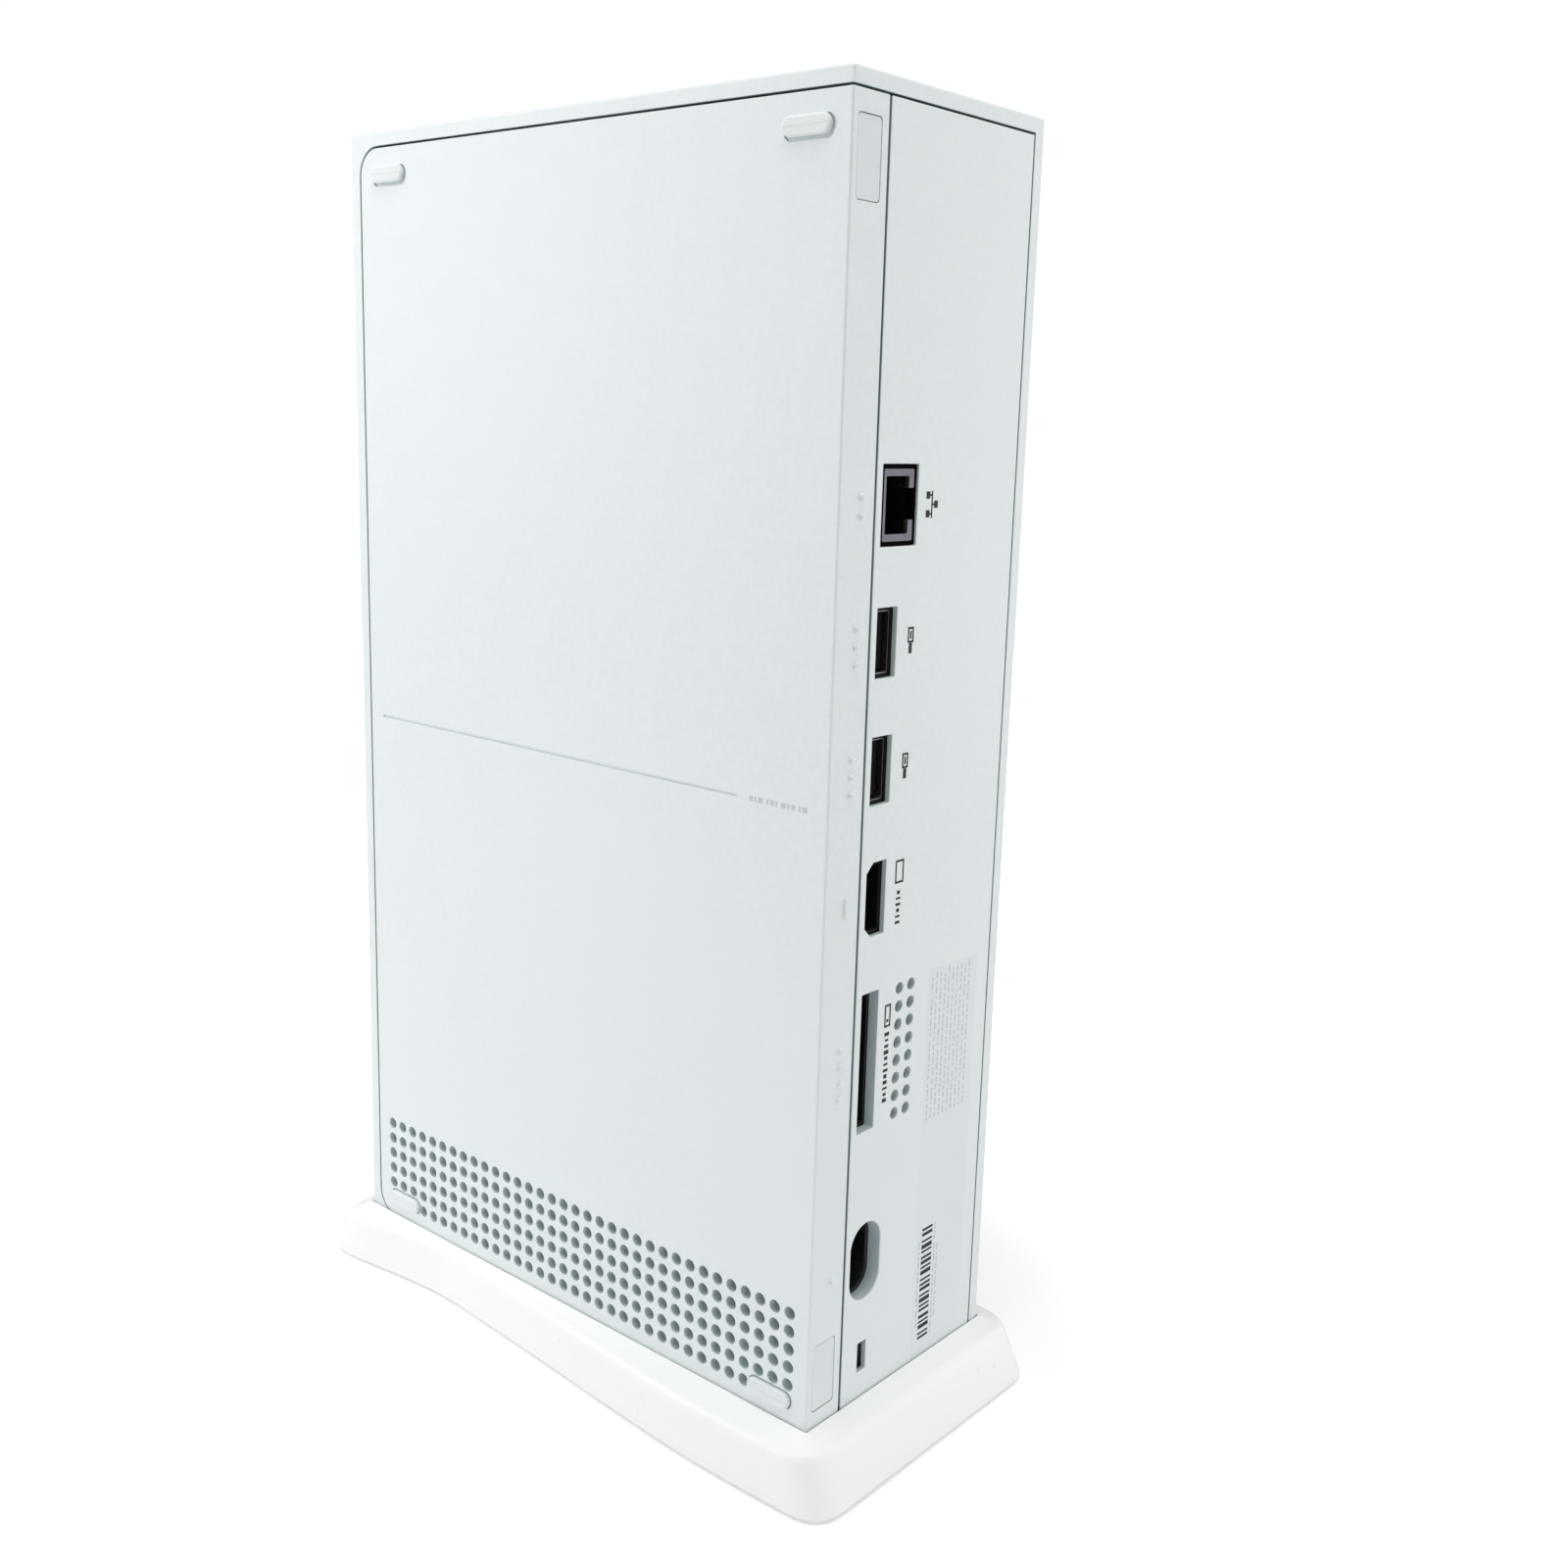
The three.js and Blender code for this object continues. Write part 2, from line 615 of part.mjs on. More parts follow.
function frontBoard() {
  const board = box([-2, 19], FRONT_BOARD_Y, FRONT_BOARD_Z);
  return cut(board, box([6.4, 13.6], [-70, -60], about(FRONT_USB.z, 14.4)));
}

function irReceiver() {
  const can = box(about(3, 5), [-69.5, FRONT_BOARD_Y[0] - GAP], about(215, 5));
  return join(can, disc("y", 3, 215, 1.8, [-71, -69], 12));
}

add("front_board", frontBoard(), boardGreen);
add("power_button_board", box(about(POWER_BUTTON.x, 18), FRONT_BOARD_Y, about(POWER_BUTTON.z, 22)), boardGreen);
add("front_usb_port", usbPort(FRONT_USB.x, FRONT_USB.z, -1, -SHELL_INSIDE_Y, BACK - 1.2), nickel);
add("ir_receiver", irReceiver(), chipBlack);

// ---- Main board, shield and cooling -------------------------------------------------------------

const boardScrews = [
  [-57, 67],
  [-57, 245],
  [42, 104],
  [42, 245],
];

function motherboard() {
  const board = box(BOARD_X, BOARD_Y, BOARD_Z);
  return cut(board, ...boardScrews.map(([y, z]) => disc("x", y, z, 1.6, [0, 40], 8)));
}

function chassisShield() {
  const plate = box(SHIELD_X, [-66, 68], [38, BOARD_Z[1]]);
  const flange = box([24.2, SHIELD_X[1]], [-66, -65], [38, BOARD_Z[1]]);
  const posts = boardScrews.map(([y, z]) => disc("x", y, z, 3, [BOARD_X[1] + GAP, SHIELD_X[0] + 0.4], 12));
  const threads = boardScrews.map(([y, z]) => disc("x", y, z, 1.5, [0, 40], 8));
  return cut(join(plate, flange, ...posts), ...threads);
}

// A chip lying on the board: middle y and z, width along y, height along z and thickness.
function chip(y, z, width, height, thick) {
  const x = BOARD_X[0] - GAP;
  return box([x - thick, x], about(y, width), about(z, height));
}

function processor() {
  const x = BOARD_X[0] - GAP;
  const carrier = chip(PROCESSOR.y, PROCESSOR.z, 36, 36, 1);
  const die = box([x - 1.8, x - 0.5], about(PROCESSOR.y, 17), about(PROCESSOR.z, 14));
  return join(carrier, die);
}

// A finned block over the processor: a base plate with upright fins in the air stream.
function heatsink() {
  const foot = BOARD_X[0] - GAP - 1.8 - GAP;
  const from = -58;
  const pitch = 6.2;
  const fin = 1.4;
  const points = [
    [foot, from],
    [foot, from + 17 * pitch + fin],
  ];
  for (let i = 17; i >= 0; i--) {
    const y = from + i * pitch;
    points.push([-8.5, y + fin], [-8.5, y]);
    if (i > 0) points.push([foot - 4, y], [foot - 4, y - pitch + fin]);
  }
  return prism(polygon(points), "z", [114, 246]);
}

function heatsinkClamp() {
  const x = [BOARD_X[1] + GAP, BOARD_X[1] + 1.5];
  const arm = (turn) => {
    const bar = new THREE.BoxGeometry(x[1] - x[0], 70, 9);
    bar.rotateX(turn);
    return solid(bar.translate((x[0] + x[1]) / 2, PROCESSOR.y, PROCESSOR.z));
  };
  return join(arm(Math.PI / 4), arm(-Math.PI / 4));
}

// A plug-in card that stands off the board on its connector.
function card(y, z, width, height) {
  const x = BOARD_X[0];
  const plate = box([x - 3.2, x - 2.3], about(y, width), about(z, height));
  const connector = box([x - 3.2, x - GAP], [y - width / 2 - 2, y - width / 2 + 3], about(z, height));
  return join(plate, connector);
}

add("motherboard", motherboard(), boardGreen);
add("chassis_shield", chassisShield(), steel);
add("processor", processor(), nickel);
const memoryPlaces = [
  [-40, 152],
  [-40, 172],
  [-40, 192],
  [-14, 208],
  [4, 208],
];
memoryPlaces.forEach(([y, z], i) => {
  add(`memory_chip_${i + 1}`, chip(y, z, 12, 14, 1.1), chipBlack);
});
add("heatsink", heatsink(), aluminium);
add("heatsink_clamp", heatsinkClamp(), steel);
add("storage_card", card(-34, 82, 30, 22), boardGreen);
add("wireless_card", card(6, 82, 22, 18), boardGreen);
add("clock_battery", disc("x", 30, 82, 8, [BOARD_X[0] - GAP - 3.2, BOARD_X[0] - GAP], 16), steel);
add("speaker", disc("x", -50, 103, 6.5, [BOARD_X[0] - GAP - 4, BOARD_X[0] - GAP], 16), blackPlastic);
boardScrews.forEach(([y, z], i) => {
  const head = disc("x", y, z, 2.5, [BOARD_X[0] - GAP - 1.3, BOARD_X[0] - GAP], 12);
  const shank = disc("x", y, z, 1.2, [BOARD_X[0] - GAP - 1, SHIELD_X[0] - 0.5], 8);
  add(`board_screw_${i + 1}`, join(head, shank), steel);
});

// ---- Power supply and leads ---------------------------------------------------------------------

const SUPPLY = { x: [-24, 16], y: [-55, 46], z: [8, 56] };

function powerSupply() {
  const body = box(SUPPLY.x, SUPPLY.y, SUPPLY.z);
  const lid = box([SUPPLY.x[0] - 1.5, SUPPLY.x[0] + 1], [-52, 43], [11, 53]);
  return join(body, lid);
}

function frontRibbon() {
  const y = FRONT_BOARD_Y[1] + GAP;
  const path = polygon([
    [9, y],
    [9.4, y],
    [9.4, -61.4],
    [BOARD_X[0] - GAP, -61.4],
    [BOARD_X[0] - GAP, -61],
    [9, -61],
  ]);
  return prism(path, "z", [209.4, 212.4]);
}

add("power_supply", powerSupply(), darkPlastic);
add("inlet_lead", box([8, 16], [SUPPLY.y[1] + GAP, 54 - GAP], about(POWER.z, 12)), chipBlack);
add("board_power_plug", box([13, BOARD_X[0] - GAP], [-36, -12], [SUPPLY.z[1] + GAP, 68]), blackPlastic);
add("front_ribbon", frontRibbon(), flexAmber);
add("fan_lead", disc("x", 51.5, 148, 1.3, [FAN_BACK_X + GAP, BOARD_X[0] - GAP], 8), chipBlack);

// ---- Stand --------------------------------------------------------------------------------------

// The plan of the stand at the ground: waisted towards the front, widest behind the middle.
const STAND_SIDE = [
  [38.7, -80],
  [38.3, -73],
  [36.5, -61],
  [35.2, -48],
  [35.0, -38],
  [36.0, -22],
  [37.5, 0],
  [39.2, 22],
  [40.5, 42],
  [40.8, 58],
  [40.4, 77],
];
const STAND_FRONT_CORNER = 6;
const STAND_BACK_CORNER = 8.5;

function standPlan(inset) {
  const end = STAND_HALF_LENGTH - inset;
  const at = (x, y) => new THREE.Vector2(x, y);
  const side = STAND_SIDE.map(([x, y]) => at(x - inset, y));
  const first = side[0];
  const last = side[side.length - 1];
  const front = new THREE.QuadraticBezierCurve(
    at(first.x - STAND_FRONT_CORNER, -end),
    at(first.x, -end),
    first,
  );
  const back = new THREE.QuadraticBezierCurve(last, at(last.x, end), at(last.x - STAND_BACK_CORNER, end));
  const right = [...front.getPoints(4), ...side.slice(1, -1), ...back.getPoints(4)];
  const left = right.map(({ x, y }) => at(-x, y)).reverse();
  return new THREE.Shape([...right, ...left]);
}

// The block leans in towards its top all round, and its upper edge is rounded.
function standBlock() {
  const r = STAND_ROUNDING;
  const options = {
    depth: STAND_HEIGHT - STAND_LIFT - r,
    bevelThickness: r,
    bevelSize: r,
    bevelOffset: -r,
    bevelSegments: 2,
  };
  const geometry = new THREE.ExtrudeGeometry(standPlan(0), options).translate(0, 0, STAND_LIFT);
  const position = geometry.attributes.position;
  for (let i = 0; i < position.count; i++) {
    const rise = THREE.MathUtils.clamp((position.getZ(i) - STAND_LIFT) / STAND_HEIGHT, 0, 1);
    const lean = 1 - STAND_FLARE * rise;
    position.setXYZ(i, position.getX(i) * lean, position.getY(i) * lean, position.getZ(i));
  }
  const below = box([-60, 60], [-120, 120], [-20, STAND_LIFT]);
  return cut(solid(geometry), below);
}

const padPlaces = [
  [-27, -72],
  [27, -72],
  [-29, 72],
  [29, 72],
];

function standBase() {
  const pocketX = about(0, WIDTH + 2 * POCKET_CLEARANCE);
  const pocketY = about(0, DEPTH + 2 * POCKET_CLEARANCE);
  const floorTop = CONSOLE_LIFT - END_PAD_THICK - GAP;
  const pocket = box(pocketX, pocketY, [floorTop, STAND_HEIGHT + 5]);
  const underside = prism(standPlan(STAND_WALL + 1.4), "z", [-5, floorTop - STAND_FLOOR]);
  const ribs = [-40, 0, 40].map((y) => box([-36, 36], about(y, 2.2), [STAND_LIFT, floorTop - 1]));
  const spine = box([-1.1, 1.1], [-80, 80], [STAND_LIFT, floorTop - 1]);
  const bosses = padPlaces.map(([x, y]) => disc("z", x, y, PAD_RADIUS + 2, [STAND_LIFT, floorTop - 1], 16));
  const block = standBlock();
  const inner = join(...ribs, spine, ...bosses).intersect(block);
  const hollow = join(cut(block, pocket, underside), inner);
  const seats = padPlaces.map(([x, y]) => disc("z", x, y, PAD_RADIUS + GAP, [-5, 1.7], 16));
  const slots = [];
  for (const y of [-60, -20, 20, 60]) {
    for (const x of [-16, 16]) slots.push(pill("z", about(x, 20), about(y, 7), [-1, 20]));
  }
  return cut(hollow, ...seats, ...slots);
}

place(unit, "stand_base", standBase(), whiteStand);
padPlaces.forEach(([x, y], i) => {
  place(unit, `stand_pad_${i + 1}`, disc("z", x, y, PAD_RADIUS, [0, 1.4], 16), greyRubber);
});

export default unit;
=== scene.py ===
"""Looks for the slab-shaped game console in its stand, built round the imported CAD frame.

Lengths are written in millimetres in the row frame and turned into metres as meshes are made.
"""
import math

import bmesh
import bpy
from mathutils import Matrix, Vector


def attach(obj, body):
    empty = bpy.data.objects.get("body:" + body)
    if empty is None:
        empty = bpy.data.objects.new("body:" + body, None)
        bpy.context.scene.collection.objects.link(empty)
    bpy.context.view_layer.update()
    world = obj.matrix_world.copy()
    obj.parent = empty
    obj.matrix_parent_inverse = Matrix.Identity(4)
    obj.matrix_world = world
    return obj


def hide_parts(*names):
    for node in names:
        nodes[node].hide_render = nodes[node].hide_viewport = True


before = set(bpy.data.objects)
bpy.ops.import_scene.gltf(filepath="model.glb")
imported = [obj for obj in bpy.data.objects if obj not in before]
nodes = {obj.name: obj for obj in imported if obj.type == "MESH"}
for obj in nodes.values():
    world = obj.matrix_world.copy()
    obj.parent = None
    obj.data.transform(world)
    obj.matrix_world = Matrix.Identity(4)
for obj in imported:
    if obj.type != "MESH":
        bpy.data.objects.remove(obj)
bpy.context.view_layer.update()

MM = 0.001

# ---- Driving dimensions, in millimetres ----

LIFT = 10.0
SIDE = 31.75
BACK = 75.5
HEIGHT = 275.0
TOP = LIFT + HEIGHT
MIDDLE = LIFT + HEIGHT / 2
SHELL_WALL = 3.2
SEAM = 0.5
PANEL_WALL = 2.5
TRAY_CORNER = 6.0
TRAY_FRONT = -BACK + SHELL_WALL + SEAM
TRAY_LOW = LIFT + SHELL_WALL + SEAM
TRAY_HIGH = TOP - SHELL_WALL - SEAM
TRAY_MIDDLE = (TRAY_FRONT + BACK) / 2
TRAY_INSIDE = SIDE - PANEL_WALL
BACK_INSIDE = BACK - PANEL_WALL
STRIP_EDGE = 21.0

VENT_COLUMNS = 34
VENT_ROWS = 6
VENT_PITCH = 4.13
VENT_RADIUS = 1.43
VENT_LOWEST = LIFT + 8.8
VENT_COLUMNS_OVER_FOOT = 3

FOOT_LENGTH = 11.7
FOOT_WIDTH = 3.7
FOOT_PROUD = 0.9
FOOT_SUNK = 0.5
FOOT_FROM_LOW_END = 9.1
FOOT_FROM_TOP = 9.7
FOOT_SPREAD = 63.2

COVER_X = 26.5
COVER_FROM_END = 15.4
COVER_SIZE = (7.2, 15.2)
COVER_DEEP = 0.5

PORT_X = (11.95, 18.5)
ETHERNET = {"z": LIFT + 196.8, "x": (6.8, 18.5), "length": 16.0}
USB_Z = (LIFT + 169.9, LIFT + 144.1)
USB_LENGTH = 14.1
VIDEO = {"z": LIFT + 117.3, "length": 15.7, "chamfer": 2.1}
STORAGE = {"z": LIFT + 82.0, "x": (12.7, 18.4), "length": 30.7}
POWER = {"z": LIFT + 36.3, "x": 13.45, "width": 10.3, "length": 17.7}
LOCK = {"z": LIFT + 13.8, "x": (11.95, 14.95), "length": 6.9}
BACK_VENT = {"x": (1.35, 5.45), "z": LIFT + 81.7, "pitch": 4.02, "count": 8, "radius": 1.42}

MARK_X = 25.0
MARK_PITCH = 3.5

GRILLE_Z = TOP - 75.5
GRILLE_RADIUS = 58.0

POWER_BUTTON = {"x": -16.5, "z": LIFT + 16.5, "radius": 6.8}
PAIR_BUTTON = {"x": 10.0, "z": LIFT + 221.0, "radius": 2.3}
FRONT_USB = {"x": (6.7, 13.3), "z": LIFT + 243.0, "length": 14.1}

POCKET_FLOOR = 8.7
POCKET_CLEARANCE = 0.35


# ---- Outlines: lists of (u, v) points ----


def about(middle, length):
    return (middle - length / 2, middle + length / 2)


def evenly(middle, count, pitch):
    """Places that stand a pitch apart, about a middle."""
    return [middle + (i - (count - 1) / 2) * pitch for i in range(count)]


def arc(u, v, radius, start, end, steps):
    angles = [math.radians(start + (end - start) * i / steps) for i in range(steps + 1)]
    return [(u + radius * math.cos(a), v + radius * math.sin(a)) for a in angles]


def circle(u, v, radius, steps=24):
    return arc(u, v, radius, 0, 360, steps)[:-1]


def rounded(us, vs, radius, steps=6):
    """A rectangle with rounded corners; radius is one number or four, turning from low u, low v."""
    a, b, c, d = radius if isinstance(radius, (list, tuple)) else [radius] * 4
    (u0, u1), (v0, v1) = us, vs
    points = []
    for u, v, r, start in (
        (u0 + a, v0 + a, a, 180),
        (u1 - b, v0 + b, b, 270),
        (u1 - c, v1 - c, c, 0),
        (u0 + d, v1 - d, d, 90),
    ):
        points += arc(u, v, r, start, start + 90, steps) if r > 0 else [(u, v)]
    return points


def pill(us, vs, steps=8):
    radius = min(us[1] - us[0], vs[1] - vs[0]) / 2 - 0.002
    return rounded(us, vs, radius, steps)


def rectangle(us, vs):
    return rounded(us, vs, 0)


# ---- Solids ----

PLACE = {
    "x": lambda u, v, w: Vector((w, u, v)) * MM,
    "y": lambda u, v, w: Vector((u, w, v)) * MM,
    "z": lambda u, v, w: Vector((u, v, w)) * MM,
}


def mesh_of(bm):
    bmesh.ops.recalc_face_normals(bm, faces=bm.faces)
    mesh = bpy.data.meshes.new("mesh")
    bm.to_mesh(mesh)
    bm.free()
    return mesh


def loft(rings):
    """A closed mesh through rings of equally many points, capped at both ends."""
    bm = bmesh.new()
    made = [[bm.verts.new(point) for point in ring] for ring in rings]
    bm.faces.new(made[0])
    bm.faces.new(made[-1])
    for low, high in zip(made, made[1:]):
        for i in range(len(low)):
            bm.faces.new((low[i - 1], low[i], high[i], high[i - 1]))
    return mesh_of(bm)


def prism(outline, axis, span):
    """A closed mesh: the outline swept along an axis between two coordinates."""
    place = PLACE[axis]
    return loft([[place(u, v, w) for u, v in outline] for w in span])


def flared(outline, axis, face, far, rim=0.18, steps=3):
    """A cutter from far out through a face, whose rim it rounds; outline(grow) is its section."""
    way = 1 if face > far else -1
    sections = [(0.0, far)]
    for i in range(steps + 1):
        turn = math.pi / 2 * i / steps
        sections.append((rim * (1 - math.cos(turn)), face + way * (0.01 - rim * (1 - math.sin(turn)))))
    sections.append((rim, face + way))
    place = PLACE[axis]
    return loft([[place(u, v, w) for u, v in outline(grow)] for grow, w in sections])


def round_hole(u, v, radius, steps=24):
    return lambda grow: circle(u, v, radius + grow, steps)


def square_hole(us, vs, radius, steps=4):
    def outline(grow):
        return rounded((us[0] - grow, us[1] + grow), (vs[0] - grow, vs[1] + grow), radius + grow, steps)

    return outline


def box(xs, ys, zs):
    return prism(rectangle(xs, ys), "z", zs)


def together(meshes):
    """Several meshes as one; used for sets that don't touch each other."""
    bm = bmesh.new()
    for mesh in meshes:
        bm.from_mesh(mesh)
        bpy.data.meshes.remove(mesh)
    return mesh_of(bm)


def object_of(name, mesh):
    obj = bpy.data.objects.new(name, mesh)
    bpy.context.scene.collection.objects.link(obj)
    return obj


def settle(obj):
    """Makes the result of the modifiers the object's own mesh."""
    graph = bpy.context.evaluated_depsgraph_get()
    made = bpy.data.meshes.new_from_object(obj.evaluated_get(graph))
    obj.modifiers.clear()
    old, obj.data = obj.data, made
    bpy.data.meshes.remove(old)


def combine(obj, mesh, operation):
    tool = object_of("tool", mesh)
    modifier = obj.modifiers.new("boolean", "BOOLEAN")
    modifier.object = tool
    modifier.operation = operation
    modifier.solver = "MANIFOLD"
    settle(obj)
    bpy.data.objects.remove(tool)
    bpy.data.meshes.remove(mesh)


def cut(obj, *meshes):
    for mesh in meshes:
        combine(obj, mesh, "DIFFERENCE")


def join(obj, *meshes):
    for mesh in meshes:
        combine(obj, mesh, "UNION")


def tidy(obj):
    """Merges coplanar triangles, so that edges can be rounded cleanly."""
    bm = bmesh.new()
    bm.from_mesh(obj.data)
    bmesh.ops.remove_doubles(bm, verts=bm.verts, dist=2e-6)
    bmesh.ops.dissolve_limit(bm, angle_limit=math.radians(0.4), verts=bm.verts, edges=bm.edges)
    bm.to_mesh(obj.data)
    bm.free()


def shade(obj, sharp=36):
    """Flat shading on faces that lie along an axis, smooth shading on the curved ones between."""
    mesh = obj.data
    mesh.set_sharp_from_angle(angle=math.radians(sharp))
    for polygon in mesh.polygons:
        polygon.use_smooth = max(abs(c) for c in polygon.normal) < 0.99995


# Edges that turn by more than this many degrees are rounded.
EDGE_ANGLE = 32


def bevel(obj, width, segments, method):
    made = obj.modifiers.new("rounded_edges", "BEVEL")
    made.width = width * MM
    made.segments = segments
    made.limit_method = method
    made.angle_limit = math.radians(EDGE_ANGLE)
    made.use_clamp_overlap = False
    made.miter_outer = "MITER_ARC"


def soften(obj, width, segments=2):
    """Rounds sharp edges by width."""
    bevel(obj, width, segments, "ANGLE")
    settle(obj)
    shade(obj)


def soften_two(obj, wide_width, fine_width, is_wide):
    """Like soften, but wider on the edges whose middle is_wide picks than on the rest."""
    bm = bmesh.new()
    bm.from_mesh(obj.data)
    weight = bm.edges.layers.float.new("bevel_weight_edge")
    for edge in bm.edges:
        if len(edge.link_faces) == 2 and edge.calc_face_angle(0) > math.radians(EDGE_ANGLE):
            middle = (edge.verts[0].co + edge.verts[1].co) / (2 * MM)
            edge[weight] = 1.0 if is_wide(middle) else fine_width / wide_width
    bm.to_mesh(obj.data)
    bm.free()
    bevel(obj, wide_width, 3, "WEIGHT")
    settle(obj)


def finished(obj, material, slot, *replaced, body="console"):
    obj.data.materials.clear()
    obj.data.materials.append(material)
    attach(obj, body)
    if replaced:
        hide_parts(*replaced)


def piece(
    name, mesh, material, slot, replaces=(), bevel=0.15, segments=2, cuts=(), joins=(), body="console"
):
    obj = object_of(name, mesh)
    join(obj, *joins)
    cut(obj, *cuts)
    tidy(obj)
    soften(obj, bevel, segments)
    finished(obj, material, slot, *replaces, body=body)


def plain(name, mesh, material, slot, body="console"):
    """A piece whose edges stay as they are."""
    obj = object_of(name, mesh)
    shade(obj)
    finished(obj, material, slot, body=body)


# ---- Materials ----


def set_range(node, source, target):
    """Sets what range a Map Range node takes in and what range it gives out."""
    for name, value in zip(("From Min", "From Max", "To Min", "To Max"), (*source, *target)):
        node.inputs[name].default_value = value


class Shader:
    """A principled material whose inputs are fed by nodes added one at a time."""

    def __init__(self, name, roughness, metallic=0.0, specular=0.5):
        self.material = bpy.data.materials.new(name)
        self.material.use_nodes = True
        self.tree = self.material.node_tree
        self.shader = self.tree.nodes["Principled BSDF"]
        self.shader.inputs["Roughness"].default_value = roughness
        self.shader.inputs["Metallic"].default_value = metallic
        self.shader.inputs["Specular IOR Level"].default_value = specular
        self.where = self.tree.nodes.new("ShaderNodeTexCoord").outputs["Object"]

    def node(self, kind, **settings):
        made = self.tree.nodes.new(kind)
        for key, value in settings.items():
            setattr(made, key, value)
        return made

    def link(self, source, target):
        self.tree.links.new(source, target)

    def stretched(self, scale):
        mapping = self.node("ShaderNodeMapping")
        mapping.inputs["Scale"].default_value = scale
        self.link(self.where, mapping.inputs["Vector"])
        return mapping.outputs["Vector"]

    def noise(self, scale, detail, where=None):
        made = self.node("ShaderNodeTexNoise")
        made.inputs["Scale"].default_value = scale
        made.inputs["Detail"].default_value = detail
        self.link(where or self.where, made.inputs["Vector"])
        return made.outputs["Fac"]

    def spread(self, value, low, high, source=(0.3, 0.7)):
        made = self.node("ShaderNodeMapRange")
        set_range(made, source, (low, high))
        self.link(value, made.inputs["Value"])
        return made.outputs["Result"]

    def mix(self, factor, first, second):
        made = self.node("ShaderNodeMix", data_type="RGBA")
        self.link(factor, made.inputs["Factor"])
        for socket, value in ((made.inputs["A"], first), (made.inputs["B"], second)):
            if isinstance(value, tuple):
                socket.default_value = (*value, 1.0)
            else:
                self.link(value, socket)
        return made.outputs["Result"]

    def colour(self, source):
        self.link(source, self.shader.inputs["Base Color"])

    def mottle(self, scale, detail, first, second):
        """Lets the colour wander between two."""
        self.colour(self.mix(self.spread(self.noise(scale, detail), 0, 1), first, second))

    def rough(self, source):
        self.link(source, self.shader.inputs["Roughness"])

    def bump(self, *layers):
        """Each layer is (height, strength, depth in millimetres)."""
        normal = None
        for height, strength, depth in layers:
            made = self.node("ShaderNodeBump")
            made.inputs["Strength"].default_value = strength
            made.inputs["Distance"].default_value = depth * MM
            self.link(height, made.inputs["Height"])
            if normal:
                self.link(normal, made.inputs["Normal"])
            normal = made.outputs["Normal"]
        self.link(normal, self.shader.inputs["Normal"])


def linear(*rgb):
    """An sRGB colour in 0..255 as linear light."""

    def one(value):
        c = value / 255
        return c / 12.92 if c <= 0.04045 else ((c + 0.055) / 1.055) ** 2.4

    return tuple(one(value) for value in rgb)


def tinted(colour, factor):
    return tuple(min(1.0, c * factor) for c in colour)


def moulded(name, colour, roughness, grain=0.05, grain_scale=1500, vary=0.03, specular=0.5):
    """Moulded plastic: fine spark-eroded grain, and faint variation where it flowed in the mould."""
    s = Shader(name, roughness, specular=specular)
    flow = s.spread(s.noise(9, 3), 0, 1)
    speckle = s.spread(s.noise(700, 3), 0, 1)
    body = s.mix(flow, tinted(colour, 1 - vary), tinted(colour, 1 + vary / 2))
    s.colour(s.mix(speckle, body, tinted(colour, 1 + vary / 3)))
    s.rough(s.spread(s.noise(160, 4), roughness - 0.05, roughness + 0.06))
    s.bump((s.noise(grain_scale, 2), grain, 0.05), (s.noise(45, 2), 0.02, 0.3))
    return s.material


def metal(name, colour, roughness, brushed=(2200, 2200, 2200)):
    """Sheet or turned metal, with faint smears; brushed is the stretch of its grain along x, y and z."""
    s = Shader(name, roughness, metallic=1.0)
    s.mottle(60, 4, tinted(colour, 0.88), tinted(colour, 1.06))
    grain = s.noise(1.0, 2, s.stretched(brushed))
    s.rough(s.spread(grain, roughness - 0.07, roughness + 0.12))
    s.bump((grain, 0.08, 0.02))
    return s.material


def rubber(name, colour):
    s = Shader(name, 0.8, specular=0.35)
    s.mottle(40, 3, tinted(colour, 0.95), tinted(colour, 1.03))
    s.rough(s.spread(s.noise(500, 3), 0.7, 0.9))
    s.bump((s.noise(2400, 3), 0.16, 0.04))
    return s.material


def circuit_board(name, colour):
    """Solder mask with copper tracks and pads faintly showing through."""
    s = Shader(name, 0.42)
    tracks = s.node("ShaderNodeTexBrick")
    tracks.inputs["Scale"].default_value = 260
    tracks.inputs["Mortar Size"].default_value = 0.012
    tracks.inputs["Color1"].default_value = (1, 1, 1, 1)
    tracks.inputs["Color2"].default_value = (0.8, 0.8, 0.8, 1)
    tracks.inputs["Mortar"].default_value = (0, 0, 0, 1)
    s.link(s.stretched((0.0, 1.0, 1.0)), tracks.inputs["Vector"])
    mask = s.mix(s.spread(s.noise(220, 2), 0, 1), tinted(colour, 0.8), tinted(colour, 1.25))
    s.colour(s.mix(tracks.outputs["Fac"], mask, tinted(colour, 1.9)))
    s.bump((tracks.outputs["Fac"], 0.15, 0.03), (s.noise(900, 2), 0.05, 0.03))
    return s.material


def film(name, colour, roughness=0.6):
    s = Shader(name, roughness, specular=0.4)
    s.mottle(30, 2, tinted(colour, 0.97), tinted(colour, 1.02))
    s.rough(s.spread(s.noise(400, 2), roughness - 0.06, roughness + 0.06))
    s.bump((s.noise(1200, 2), 0.03, 0.02))
    return s.material


